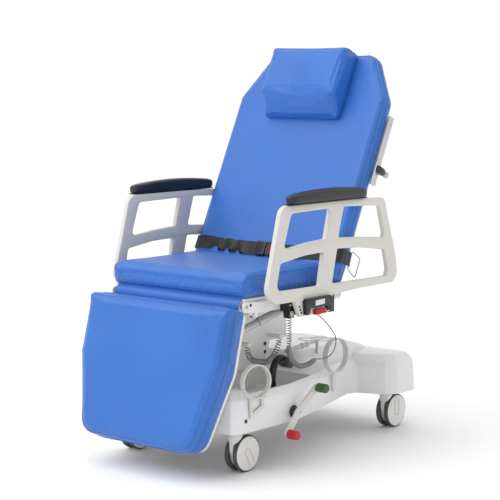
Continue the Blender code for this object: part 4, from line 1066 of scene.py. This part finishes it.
def make_arm(side, label):
    body = f"arm_{label}"
    outline = rounded(
        [
            (-0.335, 0.611, 0.042), (-0.297, 0.567, 0.042), (-0.186, 0.566, 0.016), (-0.158, 0.511, 0.01),
            (0.008, 0.511, 0.008),
            (0.013, 0.566, 0.02), (0.18, 0.573, 0.2), (0.415, 0.573, 0.04), (0.4, 0.67, 0.3),
            (0.325, 0.884, 0.03),
            (0.15, 0.889, 0.3), (0.0, 0.8905, 0.3), (-0.258, 0.8905, 0.042), (-0.292, 0.765, 0.3),
        ],
        7,
    )
    windows = (
        [(-0.248, 0.744, 0.014), (-0.12, 0.758, 0.3), (-0.018, 0.763, 0.008), (0.01, 0.866, 0.008),
        (-0.206, 0.862, 0.02)],
        [(0.051, 0.762, 0.008), (0.18, 0.754, 0.3), (0.331, 0.741, 0.012), (0.294, 0.857, 0.018),
        (0.084, 0.867, 0.008)],
        [(-0.285, 0.609, 0.022), (-0.052, 0.605, 0.008), (-0.028, 0.719, 0.008), (-0.14, 0.716, 0.3),
        (-0.264, 0.7, 0.012)],
        [(0.018, 0.605, 0.008), (0.357, 0.601, 0.022), (0.33, 0.696, 0.012), (0.18, 0.716, 0.3),
        (0.047, 0.724, 0.008)],
    )
    outlines = [outline] + [rounded(corners, 7) for corners in windows]
    panel = plate(f"arm_frame_{label}", outlines, side_plane(side * 0.3485), 0.02, 0.0048, "beige_plastic",
        body, 3)
    stands_for(panel, f"arm_panel_{label}")
    where = along_axis((side * 0.318, 0, 0.52), (0, 1, 0))
    turned(f"arm_barrel_{label}",
        [(-0.115, 0.008), (-0.115, 0.0132), (-0.1138, 0.014), (0.0038, 0.014), (0.005, 0.0132),
        (0.005, 0.008)], where, "beige_plastic", body, 32)
    web = rectangle((-0.1135, 0.512), (0.0035, 0.53), 0.003)
    plate(f"arm_barrel_web_{label}", [web], side_plane(side * 0.333), 0.02, 0.002, "beige_plastic", body)
    for k, z in enumerate((0.547, 0.536, 0.525)):
        bolt(f"arm_rivet_{k}_{label}", (side * 0.3583, -0.166 + k * 0.006, z), (side, 0, 0), 0.004, body,
            "dark_steel", 0.002)

    rings = []
    spine = [(-0.2258, 0.907, 0.1), (-0.224, 0.908, 0.55), (-0.219, 0.9095, 0.78), (-0.208, 0.9115, 0.93),
        (-0.19, 0.9125, 1.0), (-0.15, 0.9135, 1.0)]
    spine += [(-0.1, 0.9145, 1.0), (-0.04, 0.9155, 1.0), (0.02, 0.916, 1.0), (0.08, 0.9155, 1.0),
        (0.13, 0.9148, 1.0), (0.16, 0.914, 1.0)]
    spine += [(0.18, 0.9125, 0.96), (0.192, 0.91, 0.84), (0.1975, 0.9085, 0.62), (0.1995, 0.9075, 0.12)]
    for y, z, size in spine:
        top = 0.9375 - abs(y + 0.01) ** 2 * 0.3
        bottom = 0.8918
        half_w, mid = 0.0212 * size, (top + bottom) / 2
        half_h = (top - bottom) / 2 * (0.35 + 0.65 * size)
        ring = []
        for k in range(32):
            w = 2 * math.pi * k / 32
            c, s = math.cos(w), math.sin(w)
            bend = 0.62
            ring.append(
                (side * 0.359 + half_w * math.copysign(abs(c) ** bend, c), y,
                mid + half_h * math.copysign(abs(s) ** bend, s)))
        rings.append(ring)
    pad = loft(f"arm_rest_pad_{label}", rings, "black_foam", body, 60)
    step = pad.modifiers.new("rounder", "SUBSURF")
    step.levels = step.render_levels = 1
    pad = applied(pad)
    finish(pad, "black_foam", body, 180)
    stands_for(pad, f"arm_pad_{label}")
    lip = rectangle((-0.224, 0.8905), (0.196, 0.8945), 0.001, 2)
    plate(f"arm_pad_base_{label}", [lip], side_plane(side * 0.359), 0.034, 0.001, "black_plastic", body)

    outer = side * 0.3585
    box = rounded(
        [
            (-0.144, 0.517, 0.003), (-0.124, 0.517, 0.003), (-0.118, 0.537, 0.005), (-0.028, 0.537, 0.005),
            (-0.022, 0.519, 0.003),
            (0.0, 0.519, 0.004), (0.003, 0.56, 0.006), (-0.005, 0.571, 0.006), (-0.14, 0.571, 0.006),
            (-0.149, 0.562, 0.006),
        ]
    )
    cover = plate(f"latch_cover_{label}", [box], side_plane(outer + side * 0.007), 0.0136, 0.0018,
        "black_plastic", body)
    stands_for(cover, f"latch_box_{label}")
    tag = rounded(
        [(-0.094, 0.5435, 0.002), (-0.043, 0.5455, 0.002), (-0.043, 0.563, 0.002), (-0.094, 0.5615, 0.002)])
    plate(f"latch_label_{label}", [tag], side_plane(outer + side * 0.0142), 0.0012, 0.0004, "label_white",
        body)
    for k, (y, z) in enumerate(((-0.138, 0.56), (-0.134, 0.527), (-0.008, 0.56), (-0.01, 0.528))):
        bolt(f"latch_screw_{k}_{label}", (outer + side * 0.0136, y, z), (side, 0, 0), 0.0032, body,
            "dark_steel", 0.0015)
    tab = rounded(
        [(-0.092, 0.512, 0.002), (-0.036, 0.514, 0.002), (-0.036, 0.53, 0.002), (-0.092, 0.53, 0.002)])
    red = plate(f"latch_tab_grip_{label}", [tab], side_plane(outer + side * 0.0095), 0.0168, 0.0016,
        "red_rubber", f"latch_{label}")
    stands_for(red, f"latch_tab_{label}")
    ribs = []
    for k in range(5):
        z = 0.516 + k * 0.0028
        ribs.append(
            plate(f"tab_rib_{k}", [rectangle((-0.086, z), (-0.042, z + 0.0012), 0.0005, 2)],
            side_plane(outer + side * 0.018), 0.0012, 0.0003, None, None))
    joined(f"latch_tab_ribs_{label}", ribs, "red_rubber", f"latch_{label}")


make_arm(1, "left")
make_arm(-1, "right")


# ---------------------------------------------------------------- cushions


def skin(name, outline, place, thick, front_edge, rear_edge, steps=5):
    """A closed cushion form: outline(trim) pulled in round its front and rear edges."""
    levels = []
    for k in range(steps + 1):
        w = math.pi / 2 * k / steps
        levels.append((front_edge * (1 - math.cos(w)), front_edge * (1 - math.sin(w))))
    for k in range(steps + 1):
        w = math.pi / 2 * k / steps
        levels.append((thick - rear_edge * (1 - math.sin(w)), rear_edge * (1 - math.cos(w))))
    rings = [[place(a, b, depth) for a, b in outline(trim)] for depth, trim in levels]
    return loft(name, rings, None, None)


def remeshed(thing, voxel):
    step = thing.modifiers.new("remesh", "REMESH")
    step.mode = "VOXEL"
    step.voxel_size = voxel
    step.use_smooth_shade = True
    return applied(thing)


def points_of(mesh):
    flat = np.empty(len(mesh.vertices) * 3)
    mesh.vertices.foreach_get("co", flat)
    return flat.reshape(-1, 3)


def set_points(mesh, points):
    mesh.vertices.foreach_set("co", np.ascontiguousarray(points).ravel())
    mesh.update()


def inflated(thing, pressure, cap, held, gather=0.0, frames=20):
    """The cover blown up by its filling. held(points) is 1 where the cushion is fixed, and the cap limits each move."""
    before = points_of(thing.data)
    group = thing.vertex_groups.new(name="held")
    weights = held(before)
    for level in (1.0, 0.5):
        chosen = [int(i) for i in np.nonzero((weights >= level - 0.25) & (weights < level + 0.26))[0]]
        if chosen:
            group.add(chosen, level, "REPLACE")
    step = thing.modifiers.new("cloth", "CLOTH")
    settings = step.settings
    settings.quality = 4
    settings.mass = 0.35
    settings.tension_stiffness = 22
    settings.compression_stiffness = 18
    settings.shear_stiffness = 8
    settings.bending_stiffness = 0.6
    settings.use_pressure = True
    settings.uniform_pressure_force = pressure
    settings.shrink_min = gather
    settings.vertex_group_mass = "held"
    settings.effector_weights.gravity = 0
    step.collision_settings.use_collision = False
    scene.frame_start, scene.frame_end = 1, frames
    for number in range(1, frames + 1):
        scene.frame_set(number)
    thing = applied(thing)
    scene.frame_set(1)
    moved = points_of(thing.data) - before
    far = np.linalg.norm(moved, axis=1, keepdims=True)
    set_points(thing.data, before + moved * np.minimum(1, cap / np.maximum(far, 1e-9)))
    thing.vertex_groups.clear()
    return thing


def finer(thing, levels=1):
    step = thing.modifiers.new("finer", "SUBSURF")
    step.levels = step.render_levels = levels
    return applied(thing)


def wrinkled(thing, folds):
    """Creases pressed into a cover. Each fold gives (points, normals) -> height."""
    points = points_of(thing.data)
    normals = np.array([tuple(v.normal) for v in thing.data.vertices])
    height = np.zeros(len(points))
    for fold in folds:
        height += fold(points, normals)
    set_points(thing.data, points + normals * height[:, None])
    return thing


def crease(start, end, width, depth, facing=None):
    """A long soft crease from one point to another, fading at its ends."""
    start, end = np.array(start), np.array(end)
    along = end - start
    length = np.linalg.norm(along)
    along = along / length

    def height(points, normals):
        rel = points - start
        s = rel @ along
        off = np.linalg.norm(rel - s[:, None] * along, axis=1)
        share = np.clip(s / length, 0, 1)
        fade = np.sin(np.pi * share) ** 0.7 * ((s > 0) & (s < length))
        shape = np.exp(-((off / width) ** 2)) - 0.55 * np.exp(-((off / (width * 2.2)) ** 2))
        value = -depth * shape * fade
        if facing is not None:
            value = value * np.clip(normals @ np.array(facing), 0, 1)
        return value

    return height


def seam_on(name, cushion, stops, body, radius=0.0011, spacing=0.006, lift=0.0002):
    """A sewn seam: a fine welt that lies on the cover's surface, coloured a darker blue than the vinyl as painted shade
    along the seam line.
    """
    tree = BVHTree.FromPolygons([v.co for v in cushion.data.vertices],
        [p.vertices[:] for p in cushion.data.polygons])
    route = []
    for p in smooth_route(stops, spacing):
        found = tree.find_nearest(p)
        if found[0] is not None and (not route or (found[0] - route[-1][0]).length > spacing * 0.4):
            route.append((found[0] + found[1] * lift, found[1]))
    tube(name, [p for p, _ in route], radius, "seam_shade_blue", body, 6)


def back_outline(trim):
    side = [
        (BACK_HALF - trim, BACK_LOW + trim, 0.032 - trim),
        (BACK_HALF - trim, BACK_CHAMFER, 0.06),
        (BACK_TOP_HALF - trim, BACK_TOP - trim, 0.05 - trim),
    ]
    return rounded(side + [(-x, t, r) for x, t, r in reversed(side)], 8)


def leg_outline(trim):
    side = [(LEG_HALF - trim, LEG_TOP + trim, 0.012 - trim), (LEG_HALF - trim, LEG_TAPER, 0.05)]
    side.append((LEG_TOE_HALF - trim, LEG_TOE - trim, 0.066 - trim))
    return rounded(side + [(-x, u, r) for x, u, r in reversed(side)], 8)


def make_seat_cushion():
    slope = math.tan(BACK_TILT)
    rear_low = SEAT_REAR - (SEAT_TOP - SEAT_BOTTOM) * slope

    def outline(trim):
        t = trim
        corners = [(SEAT_FRONT + t, SEAT_BOTTOM + t, 0.014 - t * 0.9),
            (SEAT_FRONT + t, SEAT_TOP - t, 0.024 - t)]
        corners += [(SEAT_REAR - t, SEAT_TOP - t, 0.016 - t * 0.9),
            (rear_low - t, SEAT_BOTTOM + t, 0.01 - t * 0.6)]
        return rounded(corners, 6)

    form = skin("seat_pad_cover", outline, lambda a, b, depth: Vector((SEAT_HALF - depth, a, b)),
        2 * SEAT_HALF, 0.013, 0.013)
    form = remeshed(form, 0.006)
    p = points_of(form.data)
    low = np.clip((0.652 - p[:, 2]) / 0.06, 0, 1)
    p[:, 0] *= 1 - 0.03 * low
    p[:, 1] += 0.007 * low * (p[:, 1] < -0.3)
    set_points(form.data, p)

    def held(p):
        return np.clip((SEAT_BOTTOM + 0.01 - p[:, 2]) / 0.005, 0, 1)

    form = inflated(form, 2.4, 0.005, held)
    form = finer(form)
    folds = []
    random.seed(4)
    for k in range(9):
        y = -0.25 + k * 0.03 + random.uniform(-0.006, 0.006)
        lean = random.uniform(0.008, 0.028)
        top = 0.655 - random.uniform(0, 0.018)
        deep = 0.003 + random.random() * 0.0018
        for side in (1, -1):
            folds.append(
                crease((side * 0.302, y, 0.592), (side * 0.306, y + lean, top), 0.0056, deep, (side, 0, 0)))
    for k in range(5):
        x = -0.22 + k * 0.105 + random.uniform(-0.02, 0.02)
        folds.append(crease((x, -0.383, 0.594), (x + 0.03, -0.387, 0.64), 0.009, 0.0018, (0, -1, 0)))
    for side in (1, -1):
        for k in range(4):
            start = (side * (0.3 - k * 0.004), -0.378 + k * 0.01, 0.596 + k * 0.01)
            folds.append(crease(start, (side * (0.262 - k * 0.03), -0.388, 0.652 - k * 0.004), 0.006, 0.003))
            folds.append(crease(start, (side * 0.307, -0.3 + k * 0.02, 0.655 - k * 0.008), 0.006, 0.003))
            folds.append(
                crease((side * 0.295, -0.372 + k * 0.012, 0.668),
                (side * (0.2 - k * 0.02), -0.33 + k * 0.035, 0.668), 0.008, 0.0014))
    wrinkled(form, folds)
    finish(form, "blue_vinyl", "seat_carriage", 180)
    stands_for(form, "seat_cushion")
    inset = 0.004
    for side in (1, -1):
        x = side * (SEAT_HALF - inset)
        seam_on(f"seat_side_seam_{side}", form,
            [(x, SEAT_FRONT + 0.004, 0.594), (x, SEAT_FRONT + 0.001, 0.64), (x, SEAT_FRONT + 0.02, 0.664),
            (x, -0.2, 0.668), (x, 0.04, 0.664)], "seat_carriage")
    seam_on("seat_front_seam", form,
        [(-0.298, SEAT_FRONT, 0.6), (0, SEAT_FRONT - 0.003, 0.6), (0.298, SEAT_FRONT, 0.6)], "seat_carriage")


def make_back_cushion():
    fold_x = 0.337
    form = skin("back_pad_cover", back_outline, on_back, BACK_THICK, 0.006, 0.006)
    form = remeshed(form, 0.006)
    normal = np.array(on_back(0, 0, 1) - on_back(0, 0, 0))
    origin = np.array(on_back(0, 0, 0))

    def held(p):
        depth = (p - origin) @ normal
        return np.clip((depth - (BACK_THICK - 0.008)) / 0.004, 0, 1)

    form = inflated(form, 2.2, 0.005, held)
    form = finer(form)
    folds = []
    random.seed(7)
    for side in (1, -1):
        facing = (side, 0, 0)
        for k in range(11):
            spread_to = -0.02 + k * 0.02
            a = on_back(side * fold_x, -0.02 + k * 0.004, 0.048)
            b = on_back(side * fold_x, spread_to * 0.9 + 0.02, 0.004 + (k % 3) * 0.004)
            folds.append(crease(a, b, 0.0048, 0.0042, facing))
        for k in range(10):
            t = 0.3 + k * 0.038 + random.uniform(-0.01, 0.01)
            folds.append(
                crease(on_back(side * fold_x, t, 0.046), on_back(side * fold_x, t + 0.045, 0.01), 0.0056,
                0.0026, facing))
        for k in range(5):
            t = 0.7 + k * 0.03
            x = side * (0.325 - (t - BACK_CHAMFER) * 0.57)
            folds.append(
                crease(on_back(x, t, 0.046), on_back(x - side * 0.01, t + 0.03, 0.01), 0.0038, 0.0014))
    wrinkled(form, folds)
    finish(form, "blue_vinyl", "backrest", 180)
    stands_for(form, "back_cushion")
    for k, (trim, depth) in enumerate(((0.003, 0.0), (-0.001, 0.024))):
        ring = [on_back(x, t, depth) for x, t in back_outline(trim)]
        seam_on(f"back_edge_seam_{k}", form, [*ring, ring[0]], "backrest", radius=0.0012, spacing=0.008)


def make_leg_cushion():
    form = skin("leg_pad_cover", leg_outline, on_leg, LEG_THICK, 0.01, 0.008)
    form = remeshed(form, 0.006)
    normal = np.array(on_leg(0, 0, 1) - on_leg(0, 0, 0))
    origin = np.array(on_leg(0, 0, 0))

    def held(p):
        depth = (p - origin) @ normal
        return np.clip((depth - (LEG_THICK - 0.01)) / 0.004, 0, 1)

    form = inflated(form, 2.0, 0.005, held)
    form = finer(form)
    folds = []
    random.seed(11)
    for side in (1, -1):
        for k in range(7):
            x = side * (0.305 - k * 0.012)
            folds.append(
                crease(on_leg(x, 0.02 + k * 0.002, 0.016),
                on_leg(x - side * 0.008, 0.075 + k * 0.01, -0.002), 0.006, 0.0026))
        for k in range(6):
            u = 0.06 + k * 0.06
            folds.append(
                crease(on_leg(side * 0.318, u, 0.075), on_leg(side * 0.314, u + 0.05, 0.03), 0.0065, 0.0022,
                (side, 0, 0)))
    wrinkled(form, folds)
    finish(form, "blue_vinyl", "leg_rest", 180)
    stands_for(form, "leg_cushion")
    for k, (trim, depth) in enumerate(((0.005, 0.001), (-0.001, 0.034))):
        ring = [on_leg(x, u, depth) for x, u in leg_outline(trim)]
        seam_on(f"leg_edge_seam_{k}", form, [*ring, ring[0]], "leg_rest", radius=0.0012, spacing=0.008)


def make_pillow():
    """A wedge pillow: a soft ridge near its front edge that dips in the middle."""
    half = 0.168
    profile = [(0.588, -0.004, 0.006), (0.586, -0.026, 0.006), (0.66, -0.094, 0.007), (0.84, -0.088, 0.007),
        (0.848, -0.06, 0.008), (0.848, -0.004, 0.006)]

    def outline(trim):
        low = 0.718
        made = []
        for t, d in rounded(profile, 7):
            pull = max(0.0, 1 - trim / 0.09)
            made.append((low + (t - low) * pull, -0.045 + (d + 0.045) * pull))
        return made

    form = skin("head_pillow_cover", outline, lambda a, b, depth: on_back(half - depth, a, b), 2 * half,
        0.007, 0.007)
    form = remeshed(form, 0.0045)
    p = points_of(form.data)
    normal = np.array(on_back(0, 0, 1) - on_back(0, 0, 0))
    origin = np.array(on_back(0, 0, 0))
    depth = (p - origin) @ normal
    up = np.array(on_back(0, 1, 0) - on_back(0, 0, 0))
    along = (p - origin) @ up
    near = np.clip(-depth / 0.094, 0, 1) * np.clip(1 - (along - 0.655) / 0.12, 0,
        1) * np.clip((along - 0.6) / 0.055, 0, 1)
    scoop = np.exp(-((p[:, 0] / 0.075) ** 2)) * near
    set_points(form.data, p + (normal * 0.014 - up * 0.017) * scoop[:, None])

    def held(q):
        depth = (q - origin) @ normal
        return np.clip((depth + 0.012) / 0.005, 0, 1)

    form = inflated(form, 2.2, 0.004, held)
    form = finer(form)
    finish(form, "blue_vinyl", "pillow", 180)
    stands_for(form, "head_pillow")


def make_apron():
    """The vinyl flap that closes the gap between the seat and the leg rest."""
    stops = [(-0.37, 0.606), (-0.373, 0.592), (-0.384, 0.582), (-0.391, 0.57), (-0.393, 0.55),
        (-0.3945, 0.532)]
    line = smooth_route([(0, y, z) for y, z in stops], 0.005)
    columns, points, faces = 60, [], []
    for layer in (0.0, 0.0016):
        for here in line:
            for c in range(columns + 1):
                x = 0.284 * (2 * c / columns - 1)
                ripple = 0.0008 * math.sin(9 * c / columns * math.pi) * math.sin(
                    math.pi * (0.606 - here.z) / 0.074)
                points.append((x, here.y + layer + ripple, here.z))
    row, sheet = columns + 1, (columns + 1) * len(line)
    for i in range(len(line) - 1):
        for c in range(columns):
            a = i * row + c
            faces.append((a, a + 1, a + row + 1, a + row))
            faces.append((a + sheet, a + sheet + row, a + sheet + row + 1, a + sheet + 1))
        for c in (0, columns):
            a = i * row + c
            faces.append((a, a + row, a + row + sheet, a + sheet))
    for i in (0, len(line) - 1):
        for c in range(columns):
            a = i * row + c
            faces.append((a, a + sheet, a + sheet + 1, a + 1))
    flap = made_of("seat_apron", points, faces, "blue_vinyl", None, 60)
    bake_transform(flap)


make_seat_cushion()
make_apron()
make_back_cushion()
make_leg_cushion()
make_pillow()


# ---------------------------------------------------------------- lap belt


def ribbon(name, stops, width, look, body, thick=0.0016, spacing=0.008):
    """A strap through stops of (centre, across): its middle line and the direction of its width."""
    centres = smooth_route([c for c, _ in stops], spacing)
    known = [Vector(c) for c, _ in stops]
    points, faces = [], []
    columns = 5
    for i, here in enumerate(centres):
        order = sorted(range(len(known)), key=lambda k: (known[k] - here).length)[:2]
        near = [(known[k] - here).length + 1e-6 for k in order]
        across = sum((Vector(stops[k][1]).normalized() / d for k, d in zip(order, near)),
            Vector()).normalized()
        along = (centres[min(i + 1, len(centres) - 1)] - centres[max(i - 1, 0)]).normalized()
        across = (across - along * across.dot(along)).normalized()
        out = along.cross(across)
        for layer in (-0.5, 0.5):
            for c in range(columns):
                points.append(here + across * width * (c / (columns - 1) - 0.5) + out * thick * layer)
    row = columns * 2
    loop = [*range(columns), *range(row - 1, columns - 1, -1)]
    for i in range(len(centres) - 1):
        a, b = i * row, (i + 1) * row
        for k in range(len(loop)):
            p, q = loop[k], loop[(k + 1) % len(loop)]
            faces.append((a + p, a + q, b + q, b + p))
    faces.append(tuple(loop))
    faces.append(tuple((len(centres) - 1) * row + k for k in loop))
    return made_of(name, points, faces, look, body, 50)


def make_belt():
    body = "backrest"
    up = Vector((0, math.sin(BACK_TILT), math.cos(BACK_TILT)))
    out = (on_back(0, 0, -1) - on_back(0, 0, 0)).normalized()
    right = []
    waves = [(-0.322, 0.08, 0.005, 0.0), (-0.295, 0.081, 0.0065, 0.1), (-0.258, 0.082, 0.0075, -0.1),
        (-0.222, 0.076, 0.008, 0.45), (-0.196, 0.079, 0.0135, -0.5)]
    waves += [(-0.17, 0.075, 0.009, 0.55), (-0.143, 0.079, 0.015, -0.6), (-0.118, 0.073, 0.01, 0.5),
        (-0.092, 0.076, 0.013, -0.35), (-0.062, 0.073, 0.0085, 0.1), (-0.022, 0.073, 0.007, 0.0)]
    for x, t, proud, tilt in waves:
        right.append((on_back(x, t, -proud), up + out * tilt))
    left = [(on_back(x, t, -proud), up + out * tilt) for x, t, proud,
        tilt in ((0.074, 0.074, 0.0065, 0), (0.11, 0.073, 0.007, 0.1), (0.15, 0.075, 0.009, -0.15),
        (0.205, 0.076, 0.007, 0.12), (0.262, 0.078, 0.006, 0), (0.322, 0.08, 0.005, 0))]
    for side, stops in ((-1, right[::-1]), (1, left)):
        edge = [(on_back(side * 0.33, 0.08, -0.0035), up), (on_back(side * 0.337, 0.082, 0.006), up),
            (on_back(side * 0.3372, 0.084, 0.024), up), (on_back(side * 0.337, 0.086, 0.05), up),
            (on_back(side * 0.3345, 0.088, 0.068), up)]
        label = "left" if side > 0 else "right"
        strap = ribbon(f"lap_strap_{label}", [*stops, *edge], BELT_WIDTH, "black_webbing", body)
        stands_for(strap, f"belt_strap_{label}")
        ribbon(f"strap_end_fold_{label}",
            [(on_back(side * 0.3377, 0.084, 0.03), up), (on_back(side * 0.3377, 0.086, 0.06), up)], 0.046,
            "black_webbing", body, 0.0014)
        ring = []
        for d, t in rounded(
            [(0.062, 0.052, 0.008), (0.122, 0.04, 0.008), (0.122, 0.112, 0.008), (0.062, 0.118, 0.008)], 5):
            ring.append(on_back(side * (0.3355 - (d - 0.062) * 0.06), t, d))
        tube(f"belt_ring_{label}", [*ring, ring[0]], 0.0024, "steel", body, 10)

    shell = rounded(
        [(0.022, 0.047, 0.004), (0.0795, 0.049, 0.004), (0.0795, 0.099, 0.004), (0.022, 0.101, 0.004)])
    pocket = rectangle((0.035, 0.055), (0.055, 0.093), 0.002)
    cover = plate("buckle_shell", [shell, pocket], back_plane(-0.0155), 0.009, 0.002, "black_plastic", body)
    stands_for(cover, "belt_buckle")
    plate("buckle_base", [shell], back_plane(-0.007), 0.009, 0.002, "black_plastic", body)
    press = rectangle((0.036, 0.056), (0.054, 0.092), 0.002)
    button = plate("belt_press", [press], back_plane(-0.0171), 0.008, 0.0014, "red_rubber", "belt_button")
    stands_for(button, "buckle_button")
    tongue = rounded(
        [(-0.03, 0.049, 0.004), (0.0215, 0.056, 0.003), (0.0215, 0.092, 0.003), (-0.03, 0.099, 0.004)])
    slot = rectangle((-0.026, 0.056), (-0.0215, 0.092), 0.002)
    plate("belt_tongue_plate", [tongue, slot], back_plane(-0.0095), 0.0026, 0.0007, "steel", body)
    grip = rounded(
        [(-0.029, 0.046, 0.004), (0.013, 0.049, 0.003), (0.013, 0.099, 0.003), (-0.029, 0.102, 0.004)])
    plate("belt_tongue_grip", [grip], back_plane(-0.0125), 0.011, 0.0024, "black_plastic", body)
    for k in range(3):
        x = -0.017 + k * 0.0085
        rib = rectangle((x, 0.053), (x + 0.003, 0.095), 0.001, 2)
        plate(f"belt_grip_rib_{k}", [rib], back_plane(-0.0183), 0.0016, 0.0006, "black_plastic", body)


make_belt()
